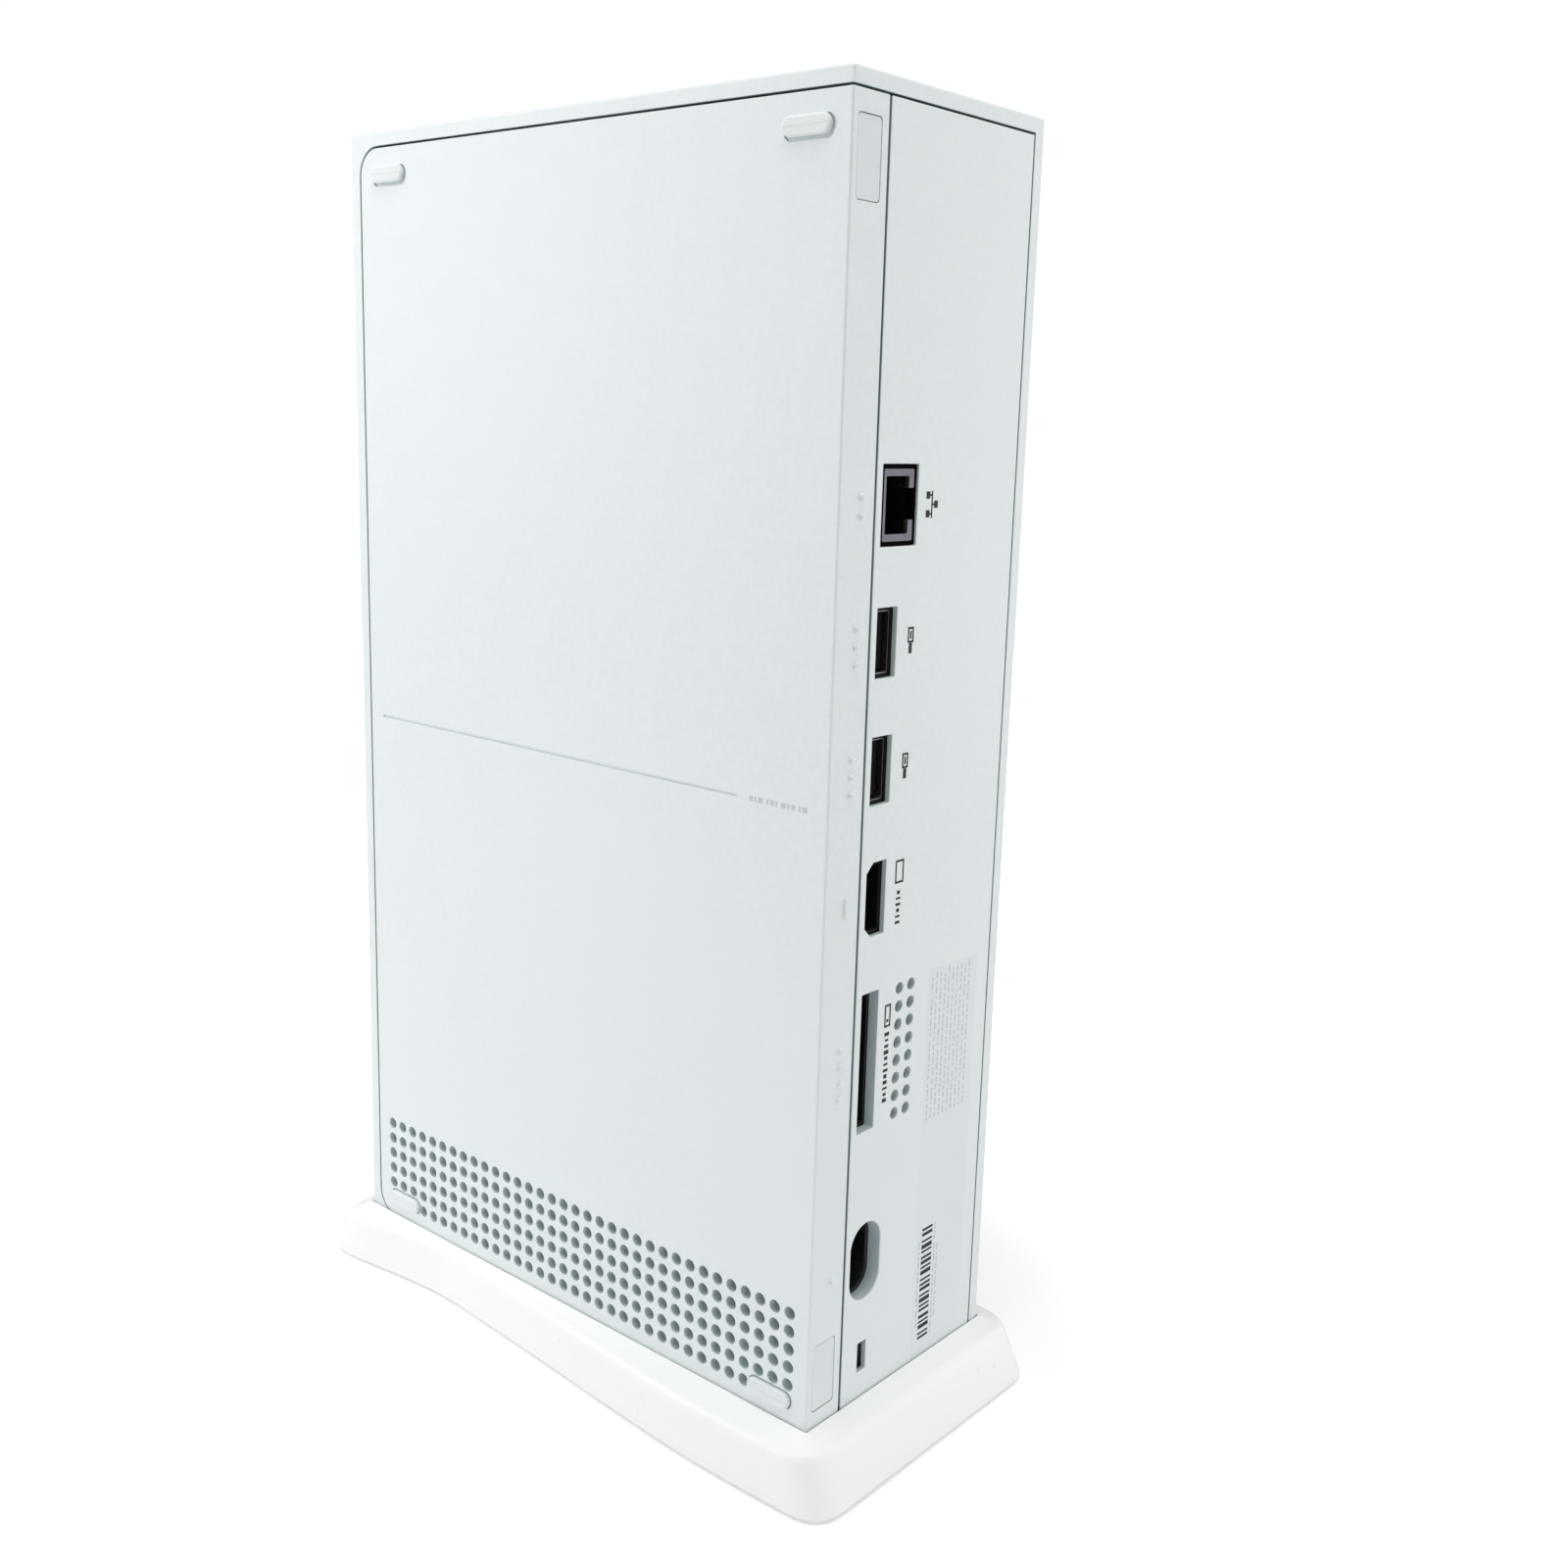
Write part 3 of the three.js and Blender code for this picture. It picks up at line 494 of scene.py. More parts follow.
WHITE = linear(231, 238, 239)
shell_white = moulded("shell_white_plastic", WHITE, 0.42)
tray_white = moulded("tray_white_plastic", WHITE, 0.45, grain=0.06)
stand_white = moulded("stand_white_plastic", linear(250, 251, 251), 0.32, grain=0.02, vary=0.01)
foot_white = rubber("foot_white_rubber", linear(233, 239, 240))
pad_grey = rubber("pad_grey_rubber", linear(140, 144, 145))
black = moulded("black_plastic", linear(24, 25, 26), 0.4, grain=0.08, vary=0.15)
dull_black = moulded("dull_black_plastic", linear(13, 14, 16), 0.6, grain=0.08, vary=0.15, specular=0.15)
# Painted shade: a darker, cooler copy of the white plastic for the walls of vents and port openings, which
# lie in shadow.
painted_hole_shade = moulded("hole_wall_painted_shade", linear(198, 210, 212), 0.6, grain=0.05, specular=0.2)
# Painted shade: a near-black plastic that hardly reflects, filling the gap round the network jack's frame
# where there is only shadow.
gap_shade_black = moulded("gap_painted_shade_black", linear(5, 5, 6), 0.8, grain=0.05, vary=0.1, specular=0.03)
# Painted shade: a darker, teal-grey copy of the white plastic for inner walls of seams, sockets and holes
# that lie in shadow.
painted_inner_shade = moulded("inner_wall_painted_shade", linear(140, 162, 166), 0.7, grain=0.05, specular=0.1)
charcoal = moulded("charcoal_plastic", linear(48, 50, 52), 0.5, grain=0.08, vary=0.1)
resin = moulded("black_moulded_resin", linear(28, 29, 31), 0.5, grain=0.12, grain_scale=2600, vary=0.2)
cover_film = film("cover_film", linear(228, 235, 236))
zinc = metal("zinc_plated_steel", linear(186, 189, 193), 0.32, (300, 300, 60))
nickel = metal("dull_nickel", linear(128, 124, 134), 0.34)
jack_metal = metal("tarnished_jack_metal", linear(116, 115, 122), 0.42)
gold = metal("gold_plating", linear(226, 178, 92), 0.25)
extruded = metal("extruded_aluminium", linear(196, 200, 204), 0.38, (900, 900, 40))
board = circuit_board("green_solder_mask", linear(26, 74, 50))
amber = film("amber_flex_film", linear(184, 112, 34), 0.4)
ink = film("dark_printing_ink", linear(20, 24, 30), 0.55)
pale_ink = film("pale_printing_ink", linear(198, 205, 210), 0.55)
label_film = film("label_film", linear(229, 235, 238), 0.45)


# ---- Outer shell ----


def repaint(obj, material, chosen):
    """Gives another material to the faces that chosen picks by their middle, in millimetres, and normal;
    here it paints shade on walls in shadow.
    """
    obj.data.materials.append(material)
    for polygon in obj.data.polygons:
        if chosen(polygon.center / MM, polygon.normal):
            polygon.material_index = len(obj.data.materials) - 1


def near(value, target):
    return abs(value - target) < 0.02


COVER_ZS = (TOP - COVER_FROM_END, LIFT + COVER_FROM_END)
LUG_X, LUG_Y, LUG_REACH = (21.8, 28.9), (55.0, 65.6), 20.5


def outer_shell():
    obj = object_of("shell", box((-SIDE, SIDE), (-BACK, BACK), (LIFT, TOP)))
    inner = TRAY_CORNER + SEAM
    hollow = rounded(
        (-BACK + SHELL_WALL, BACK + 5), (LIFT + SHELL_WALL, TOP - SHELL_WALL), (inner, 0, 0, inner), 10
    )
    cut(obj, prism(hollow, "x", (-SIDE + SHELL_WALL, SIDE + 5)))
    tidy(obj)

    def outside(middle):
        at_end = near(middle.z, LIFT) or near(middle.z, TOP)
        return near(abs(middle.x), SIDE) + near(abs(middle.y), BACK) + at_end >= 2

    soften_two(obj, 0.55, 0.15, outside)
    for z in COVER_ZS:
        span = (TOP - LUG_REACH, TOP - 1) if z > MIDDLE else (LIFT + 1, LIFT + LUG_REACH)
        lug = object_of("lug", box(LUG_X, LUG_Y, span))
        cut(lug, prism(circle(COVER_X, z, 1.5, 16), "y", (LUG_Y[0] - 1, LUG_Y[1] + 1)))
        join(obj, lug.data.copy())
        bpy.data.objects.remove(lug)
    front_usb = about(FRONT_USB["z"], FRONT_USB["length"])
    cut(
        obj,
        flared(round_hole(0, GRILLE_Z, GRILLE_RADIUS + 0.3, 120), "x", -SIDE, 0, 0.3),
        *[
            flared(round_hole(b["x"], b["z"], b["radius"] + 0.3, 48), "y", -BACK, -60, 0.25)
            for b in (POWER_BUTTON, PAIR_BUTTON)
        ],
        flared(square_hole(FRONT_USB["x"], front_usb, 0.3), "y", -BACK, -60, 0.2),
    )
    shade(obj)
    finished(obj, shell_white, "shell_white", "outer_shell")

    def inside(middle, normal):
        return abs(middle.x) < SIDE - 1 and abs(middle.y) < BACK - 0.8 and LIFT + 0.8 < middle.z < TOP - 0.8

    # The shell's inside faces, seam walls included, get painted shade.
    repaint(obj, painted_inner_shade, inside)


outer_shell()

# ---- Underside tray ----


def vent_centres():
    for row in range(VENT_ROWS):
        for column, y in enumerate(evenly(TRAY_MIDDLE, VENT_COLUMNS, VENT_PITCH)):
            over_foot = row == 0 and min(column, VENT_COLUMNS - 1 - column) < VENT_COLUMNS_OVER_FOOT
            if not over_foot:
                yield y, VENT_LOWEST + row * VENT_PITCH


FEET_ZS = (LIFT + FOOT_FROM_LOW_END, TOP - FOOT_FROM_TOP)
FEET = [(TRAY_MIDDLE + side * FOOT_SPREAD, z) for z in FEET_ZS for side in (-1, 1)]


def base_tray():
    corners = (TRAY_CORNER, 0, 0, TRAY_CORNER)
    panel = prism(rounded((TRAY_FRONT, BACK), (TRAY_LOW, TRAY_HIGH), corners, 12), "x", (TRAY_INSIDE, SIDE))
    obj = object_of("tray", panel)
    join(obj, box((STRIP_EDGE, SIDE), (BACK_INSIDE, BACK), (TRAY_LOW, TRAY_HIGH)))
    tidy(obj)

    def corner(middle):
        return near(middle.x, SIDE) and near(middle.y, BACK)

    soften_two(obj, 0.45, 0.14, corner)
    outline = rounded((TRAY_FRONT + 0.2, BACK_INSIDE + 1), (TRAY_LOW + 0.2, TRAY_HIGH - 0.2), corners, 8)
    lip = object_of("lip", prism(outline, "x", (TRAY_INSIDE - 4, TRAY_INSIDE + 1)))
    inner = (TRAY_CORNER - 2, 0, 0, TRAY_CORNER - 2)
    outline = rounded((TRAY_FRONT + 2.2, BACK_INSIDE + 2), (TRAY_LOW + 2.2, TRAY_HIGH - 2.2), inner, 8)
    past_lugs = box((0, TRAY_INSIDE), (LUG_Y[0] - 0.5, LUG_Y[1] + 0.4), (0, TOP))
    cut(lip, prism(outline, "x", (TRAY_INSIDE - 5, TRAY_INSIDE)), past_lugs)
    join(obj, lip.data.copy())
    bpy.data.objects.remove(lip)
    for z in COVER_ZS:
        join(obj, prism(circle(COVER_X, z, 4.6, 24), "y", (66, BACK_INSIDE + 1)))
    for z in COVER_ZS:
        recess = square_hole(about(COVER_X, COVER_SIZE[0]), about(z, COVER_SIZE[1]), 0.9, 5)
        cut(
            obj,
            flared(recess, "y", BACK, BACK - COVER_DEEP, 0.12),
            prism(circle(COVER_X, z, 3.1, 24), "y", (72, BACK)),
            prism(circle(COVER_X, z, 1.7, 16), "y", (60, BACK - 1)),
        )
    sockets = []
    for y, z in FEET:
        gap = 0.2 if z < MIDDLE else 0.34
        across = about(z + (gap if z < MIDDLE else -gap), FOOT_WIDTH + 2 * gap)
        socket = square_hole(about(y + gap, FOOT_LENGTH + 2 * gap), across, 1.9, 8)
        sockets.append(flared(socket, "x", SIDE, SIDE - FOOT_SUNK, 0.1))
    vents = [round_hole(y, z, VENT_RADIUS) for y, z in vent_centres()]
    holes = [flared(vent, "x", SIDE, TRAY_INSIDE - 5, 0.14, 2) for vent in vents]
    cut(
        obj,
        together(sockets),
        together(holes),
        prism(pill((-67.1, 51.7), about(MIDDLE, 0.6), 4), "x", (SIDE - 0.4, SIDE + 1)),
    )
    shade(obj)
    finished(obj, tray_white, "tray_white", "base_tray")
    half = VENT_COLUMNS / 2 * VENT_PITCH
    top = VENT_LOWEST + (VENT_ROWS - 0.5) * VENT_PITCH

    def gets_inner_shade(middle, normal):
        return middle.x < SIDE - 0.25 and middle.y < BACK - 0.25 and normal.x < 0.9

    def gets_vent_shade(middle, normal):
        in_field = abs(middle.y - TRAY_MIDDLE) < half and LIFT + 6 < middle.z < top
        return in_field and TRAY_INSIDE - 3.8 < middle.x < SIDE - FOOT_SUNK - 0.05 and abs(normal.x) < 0.5

    # Painted shade on the walls set back from the outer faces (seams, foot sockets, cover recesses and
    # holes), and a lighter painted shade on the vent walls.
    repaint(obj, painted_inner_shade, gets_inner_shade)
    repaint(obj, painted_hole_shade, gets_vent_shade)


base_tray()


def dome(x, y, z, radius, height, steps=20, rings=4):
    """A low round dot standing on a face that looks along +Y, sunk a little into it."""
    bm = bmesh.new()
    loops = []
    for level in range(rings + 1):
        turn = math.pi / 2 * level / rings
        r = radius * math.cos(turn)
        w = y + height * math.sin(turn)
        if level == rings:
            loops.append([bm.verts.new(Vector((x, w, z)) * MM)])
        else:
            loops.append([bm.verts.new(Vector((u, w, v)) * MM) for u, v in circle(x, z, r, steps)])
    base = [bm.verts.new(Vector((u, y - 0.2, v)) * MM) for u, v in circle(x, z, radius, steps)]
    loops.insert(0, base)
    bm.faces.new(base)
    for low, high in zip(loops, loops[1:]):
        for i in range(steps):
            if len(high) == 1:
                bm.faces.new((low[i - 1], low[i], high[0]))
            else:
                bm.faces.new((low[i - 1], low[i], high[i], high[i - 1]))
    return mesh_of(bm)


def touch_marks():
    rows = ((ETHERNET["z"], 2), (USB_Z[0], 3), (USB_Z[1], 3), (STORAGE["z"], 4), (POWER["z"], 1))
    places = [z for middle, count in rows for z in evenly(middle, count, MARK_PITCH)]
    dots = [dome(MARK_X, BACK, z, 0.8, 0.76) for z in places]
    bar = prism(pill(about(MARK_X, 1.3), about(VIDEO["z"], 4.6), 6), "y", (BACK - 0.2, BACK + 0.45))
    obj = object_of("touch_marks", together(dots + [bar]))
    soften(obj, 0.18, 3)
    finished(obj, tray_white, "tray_white")


touch_marks()

for number, (y, z) in enumerate(FEET, 1):
    outline = pill(about(y, FOOT_LENGTH), about(z, FOOT_WIDTH), 10)
    foot = prism(outline, "x", (SIDE - FOOT_SUNK + 0.05, SIDE + FOOT_PROUD))
    piece(f"foot_{number}", foot, foot_white, "foot_rubber", [f"base_foot_{number}"], 0.4, 4)

for name, z in zip(("upper", "lower"), COVER_ZS):
    outline = rounded(about(COVER_X, COVER_SIZE[0] - 0.34), about(z, COVER_SIZE[1] - 0.34), 0.75, 6)
    sheet = prism(outline, "y", (BACK - COVER_DEEP + 0.03, BACK - 0.12))
    piece(f"cover_{name}", sheet, cover_film, "cover_label", [f"screw_cover_{name}"], 0.08, 2)

# ---- Rear panel ----


def video_outline(inset):
    (x0, x1), half, c, s = PORT_X, VIDEO["length"] / 2, VIDEO["chamfer"], inset
    z = VIDEO["z"]
    k = s * 0.414
    return [
        (x0 + s, z - half + s),
        (x1 - c - k, z - half + s),
        (x1 - s, z - half + c + k),
        (x1 - s, z + half - c - k),
        (x1 - c - k, z + half - s),
        (x0 + s, z + half - s),
    ]


def power_outline(grow):
    width, length = POWER["width"] + 2 * grow, POWER["length"] + 2 * grow
    return pill(about(POWER["x"], width), about(POWER["z"], length), 14)


def rear_panel():
    edges = (-SIDE + SHELL_WALL + SEAM, STRIP_EDGE - SEAM - 0.25)
    obj = object_of("rear", box(edges, (BACK_INSIDE, BACK), (TRAY_LOW, TRAY_HIGH)))
    soften(obj, 0.16, 3)
    join(obj, prism(power_outline(1.3), "y", (BACK - 3.35, BACK_INSIDE + 0.5)))

    def opening(outline, rim=0.16):
        return flared(outline, "y", BACK, 60, rim)

    holes = [opening(square_hole(PORT_X, about(z, USB_LENGTH), 0.25)) for z in USB_Z]
    for port, radius in ((ETHERNET, 0.25), (STORAGE, 0.25), (LOCK, 0.2)):
        holes.append(opening(square_hole(port["x"], about(port["z"], port["length"]), radius)))
    holes.append(opening(lambda grow: video_outline(-grow)))
    holes.append(opening(power_outline, 0.3))
    for x in BACK_VENT["x"]:
        for z in evenly(BACK_VENT["z"], BACK_VENT["count"], BACK_VENT["pitch"]):
            holes.append(opening(round_hole(x, z, BACK_VENT["radius"] - 0.1, 20), 0.14))
    cut(obj, together(holes))
    # Thinned from behind round the small ports, where a jack's face comes up close.
    thin = (BACK_INSIDE - 1, BACK - 1.15)
    for z, length in ((USB_Z[0], USB_LENGTH), (USB_Z[1], USB_LENGTH), (VIDEO["z"], VIDEO["length"])):
        cut(obj, box((PORT_X[0] - 0.8, PORT_X[1] + 0.8), thin, about(z, length + 1.6)))
    cut(obj, box((LOCK["x"][0] - 1.5, LOCK["x"][1] + 1.5), thin, about(LOCK["z"], LOCK["length"] + 3)))
    shade(obj)
    finished(obj, shell_white, "shell_white", "rear_panel")

    def gets_hole_shade(middle, normal):
        inside = edges[0] + 1 < middle.x < edges[1] - 1 and TRAY_LOW + 1 < middle.z < TRAY_HIGH - 1
        return inside and middle.y < BACK - 0.3 and abs(normal.y) < 0.5

    # Painted shade on the panel's edge walls and hole walls, then a lighter painted shade in the openings.
    repaint(obj, painted_inner_shade, lambda middle, normal: middle.y < BACK - 0.25 and abs(normal.y) < 0.5)
    repaint(obj, painted_hole_shade, gets_hole_shade)


rear_panel()


def depth(out, near_face, far):
    """The y range from near_face to far, measured inwards from the back (out 1) or the front (out -1)."""
    return tuple(sorted((out * (BACK - near_face), out * (BACK - far))))


def usb_port(name, xs, z, out):
    middle = sum(xs) / 2
    opening = rounded((xs[0] + 0.05, xs[1] - 0.05), about(z, USB_LENGTH - 0.1), 0.25, 3)
    body = box(about(middle, 5.7), depth(out, 3.5, 16), about(z, 13.2))
    cavity = prism(rounded(about(middle, 5.1), about(z, 12.7), 0.4, 4), "y", depth(out, 0.5, 13))
    tongue = box((middle - 2.0, middle - 0.2), depth(out, 2.7, 13.5), about(z, 11.1))
    start = 1.2 if out > 0 else 1.4
    mouth = prism(opening, "y", depth(out, start, 3.6))
    piece(name, mouth, dull_black, "black_plastic", [name], 0.08, 2, (cavity,), (body,))
    piece(f"{name}_tongue", tongue, dull_black, "black_plastic", bevel=0.1)
    shell = rounded(about(middle, 5.06), about(z, 12.66), 0.4, 4)
    shell = prism(shell, "y", depth(out, start + 0.25, 12.9))
    inside = prism(rounded(about(middle, 4.5), about(z, 12.1), 0.3, 4), "y", depth(out, 0, 14))
    piece(f"{name}_shell", shell, nickel, "nickel", bevel=0.05, cuts=(inside,))
    fingers = [
        box((middle - 0.22, middle - 0.1), depth(out, 3.2, 12.5), about(z + offset, 1.0))
        for offset in (-3.5, -1, 1, 3.5)
    ]
    piece(f"{name}_contacts", together(fingers), gold, "nickel", bevel=0.03)


usb_port("usb_port_upper", PORT_X, USB_Z[0], 1)
usb_port("usb_port_lower", PORT_X, USB_Z[1], 1)
usb_port("front_usb_port", FRONT_USB["x"], FRONT_USB["z"], -1)


def video_port():
    mouth = prism(video_outline(0.05), "y", depth(1, 1.2, 3.6))
    body = prism(video_outline(0.4), "y", depth(1, 3.5, 15.5))
    cavity = prism(video_outline(1.0), "y", depth(1, 0.5, 12))
    piece("video_port", mouth, dull_black, "black_plastic", ["video_port"], 0.08, 2, (cavity,), (body,))
    middle = sum(PORT_X) / 2
    tongue = box(about(middle - 0.3, 1.3), depth(1, 3.2, 12.5), about(VIDEO["z"], 10.6))
    piece("video_port_tongue", tongue, dull_black, "black_plastic", bevel=0.1)
    pins = [
        box((middle + 0.33, middle + 0.42), depth(1, 3.8, 12), about(z, 0.45))
        for z in evenly(VIDEO["z"], 9, 1)
    ]
    piece("video_port_contacts", together(pins), gold, "nickel", bevel=0.02)


video_port()


def ethernet_jack():
    z = ETHERNET["z"]
    through = (60, BACK + 1)
    body = box((6.5, 20.3), (52, BACK_INSIDE - 0.3), about(z, 16.6))
    hollow = (box((9.2, 17.4), (62, BACK), about(z, 12.8)), box((7.5, 10), (62, BACK), about(z, 6.8)))
    piece("network_jack_body", body, dull_black, "black_plastic", ["ethernet_jack"], 0.2, cuts=hollow)
    # The ring is painted shade: it fills the dark gap between the panel's opening and the jack's frame.
    ring = prism(rounded((6.95, 18.35), about(z, 15.7), 0.3, 3), "y", (BACK_INSIDE - 0.2, BACK - 0.45))
    hollow = (prism(rounded((7.75, 17.6), about(z, 14.2), 0.4, 3), "y", through),)
    piece("network_jack_ring", ring, gap_shade_black, "black_plastic", bevel=0.08, cuts=hollow)
    plate = prism(rounded((7.8, 17.55), about(z, 14.1), 0.4, 3), "y", (BACK - 1.5, BACK - 0.4))
    hollow = (box((9.4, 16.75), through, about(z, 11.2)), box((7, 10), through, about(z + 0.2, 6.2)))
    piece("network_jack_frame", plate, jack_metal, "nickel", bevel=0.1, cuts=hollow)
    path = [(17.3, 71.6), (17.05, 72.0), (14.3, 64.6), (14.3, 62.1), (14.75, 62.1), (14.75, 64.5)]
    wires = [prism(path, "z", about(middle, 0.42)) for middle in evenly(z, 8, 1.02)]
    piece("network_jack_contacts", together(wires), gold, "nickel", bevel=0.05)


ethernet_jack()


def storage_slot():
    z = STORAGE["z"]
    body = box((11.6, 19.6), (46, BACK_INSIDE - 0.2), about(z, 33.4))
    mouth = prism(rounded((13.1, 18.1), about(z, 29.8), 0.4, 4), "y", (50, BACK))
    piece("storage_slot", body, black, "black_plastic", ["storage_slot"], 0.2, cuts=(mouth,))
    tongue = box((15, 16), (49.8, 56), about(z, 22))
    piece("storage_slot_tongue", tongue, resin, "black_plastic")
    pads = [box((16.0, 16.08), (50.5, 55.5), about(middle, 0.9)) for middle in evenly(z, 13, 1.6)]
    piece("storage_slot_contacts", together(pads), gold, "nickel", bevel=0.02)


storage_slot()


def ac_inlet():
    floor = 60.5
    body = box((6, 20.3), (54, BACK - 3.4), about(POWER["z"], 23))
    mouth = prism(power_outline(-0.9), "y", (floor, BACK))
    piece("ac_inlet", body, black, "black_plastic", ["ac_inlet"], 0.25, cuts=(mouth,))
    for name, side in (("lower", -1), ("upper", 1)):
        pin = prism(circle(POWER["x"], POWER["z"] + side * 4.3, 1.2, 20), "y", (floor - 0.5, 71))
        piece(f"ac_pin_{name}", pin, nickel, "nickel", bevel=0.5, segments=3)


ac_inlet()

# ---- Printing on the rear panel and the tray ----

PRINT = 0.025


def printed(outlines):
    return together([prism(outline, "y", (BACK - 0.01, BACK + PRINT)) for outline in outlines])


def stroke(x, z, width, length):
    return rectangle(about(x, width), about(z, length))


def outlined(x, z, width, length, line):
    """Four strokes round a rectangle."""
    dx, dz = (width - line) / 2, (length - line) / 2
    return [
        stroke(x - dx, z, line, length),
        stroke(x + dx, z, line, length),
        stroke(x, z - dz, width - 2 * line - 0.02, line),
        stroke(x, z + dz, width - 2 * line - 0.02, line),
    ]


def port_pictograms():
    line = 0.45
    z = ETHERNET["z"]
    marks = [stroke(x, z + offset, 1.3, 1.45) for x, offset in ((3.35, 1.85), (3.35, -1.85), (0.65, 0))]
    marks += [
        stroke(2.0, z, line, 5.4),
        stroke(2.46, z + 1.85, line, 0.4),
        stroke(2.46, z - 1.85, line, 0.4),
        stroke(1.54, z, line, 0.4),
    ]
    for z in USB_Z:
        marks += outlined(7.2, z + 1.0, 2.0, 3.2, line)
        marks += [stroke(7.2, z - 1.7, 1.1, 2.1), stroke(7.2, z + 1.0, 0.5, 1.6)]
    marks += outlined(7.4, VIDEO["z"] + 4.4, 2.9, 5.0, line)
    for i in range(6):
        width, length = ((1.0, 0.8), (1.6, 0.45), (1.6, 0.6))[i % 3]
        marks.append(stroke(7.5, VIDEO["z"] - 0.1 - i * 1.3, width, length))
    z, x = STORAGE["z"] + 8.7, 9.35
    marks += outlined(x, z, 2.1, 5.0, line)
    marks.append(stroke(x, z - 1.1, 0.7, 0.6))
    for i in range(12):
        width, length = (1.6, 1.1, 1.4)[i % 3], (0.8, 0.5, 0.65, 0.9)[i % 4]
        marks.append(stroke(x, STORAGE["z"] + 4.6 - i * 1.35, width, length))
    plain("port_pictograms", printed(marks), ink, "dark_plastic")


port_pictograms()

LABEL_X = (-23.5, -5.0)
LABEL_Z = (LIFT + 4.6, LIFT + 97.0)


def rating_label():
    sheet = prism(rounded(LABEL_X, LABEL_Z, 0.8, 4), "y", (BACK - 0.01, BACK + 0.012))
    plain("rating_label", sheet, label_film, "cover_label")
    bars = []
    z = LIFT + 8.5
    step = 0
    while z < LIFT + 35.6:
        thick = (0.6, 0.5, 1.0, 0.5, 0.8)[step % 5]
        gap = (0.5, 0.9, 0.45, 0.6, 1.0, 0.5, 0.6)[step % 7]
        bars.append(stroke(-9.35, z + thick / 2, 3.9, thick))
        z += thick + gap
        step += 1
    plain("label_bars", printed(bars), ink, "dark_plastic")
    rows = []
    for column, (x, low, high) in enumerate(
        ((-6.5, 12, 32), (-12.3, 8.5, 36), (-13.4, 12, 30), *[(-6.6 - 1.55 * k, 62, 95) for k in range(10)])
    ):
        z, step = LIFT + low, column
        while z < LIFT + high:
            length = (1.1, 0.6, 1.7, 0.8, 1.3)[step % 5]
            rows.append(stroke(x, z + length / 2, 0.42, length))
            z += length + (0.4, 0.4, 0.9, 0.4, 0.4, 0.7)[step % 6]
            step += 1
    plain("label_rows", printed(rows), pale_ink, "cover_label")


rating_label()


def tray_print():
    dashes = []
    y, step = 55.1, 0
    while y < 70.2:
        length = (0.9, 0.5, 1.2, 0.6)[step % 4]
        dash = rectangle((y, y + length), about(MIDDLE, 1.1))
        dashes.append(prism(dash, "x", (SIDE - 0.01, SIDE + PRINT)))
        y += length + (0.45, 0.45, 1.0)[step % 3]
        step += 1
    plain("tray_print", together(dashes), pale_ink, "cover_label")


tray_print()

# ---- Grille and fan ----


def arc_slot(inner, outer, start, end, steps):
    outside = arc(0, GRILLE_Z, outer, start, end, steps)
    inside = arc(0, GRILLE_Z, inner, end, start, steps)
    return outside + inside


def grille_slot(radius, low, high, start, end):
    """One slot of the grille, which can be grown all round."""

    def outline(grow):
        wider = math.degrees(grow / radius)
        first, last = math.degrees(start) - wider, math.degrees(end) + wider
        steps = max(4, int(math.degrees(end - start) / 4))
        return arc_slot(radius + low - grow, radius + high + grow, first, last, steps)

    return outline


def fan_grille():
    face = -SIDE + 0.6
    obj = object_of("grille", prism(circle(0, GRILLE_Z, GRILLE_RADIUS, 120), "x", (face, face + 2.2)))
    soften(obj, 0.3, 2)
    slots = []
    pitch = 12
    for ring in range(1, 5):
        count = 4 + 3 * ring
        turn = 360 / count
        bridge = 2.6 / (ring * pitch)
        for i in range(count):
            start = math.radians(i * turn) + bridge / 2
            end = math.radians((i + 1) * turn) - bridge / 2
            for low, high in ((-4.0, -0.5), (0.5, 4.0)):
                slot = grille_slot(ring * pitch, low, high, start, end)
                slots.append(flared(slot, "x", face, face + 3, 0.22))
    cut(obj, together(slots))
    shade(obj)
    finished(obj, black, "black_plastic", "fan_grille")


fan_grille()


def blade(turn):
    """One curved blade: sections on cylinders about the fan's axis, pitched less towards the tip."""
    middle, root, tip = -19.65, 18.2, 50.2
    sections = []
    for step in range(9):
        t = step / 8
        radius = root + t * (tip - root)
        pitch = math.radians(52 - 17 * t)
        chord = 16 + 6.5 * t
        sweep = math.radians(turn) + 0.35 * t * t
        ring = []
        for side, order in ((1, range(0, 9)), (-1, range(8, -1, -1))):
            for k in order:
                s = k / 8 - 0.5
                camber = 1.6 * (0.25 - s * s) * 4
                thick = 0.75 * math.sqrt(max(0.0, 1 - (2 * s) ** 4)) + 0.12
                across = s * chord * math.cos(pitch) + (camber + side * thick) * math.sin(pitch)
                along = s * chord * math.sin(pitch) - (camber + side * thick) * math.cos(pitch)
                angle = sweep + across / radius
                ring.append((middle + along, radius * math.cos(angle), GRILLE_Z + radius * math.sin(angle)))
        sections.append([Vector(point) * MM for point in ring])
    return loft(sections)


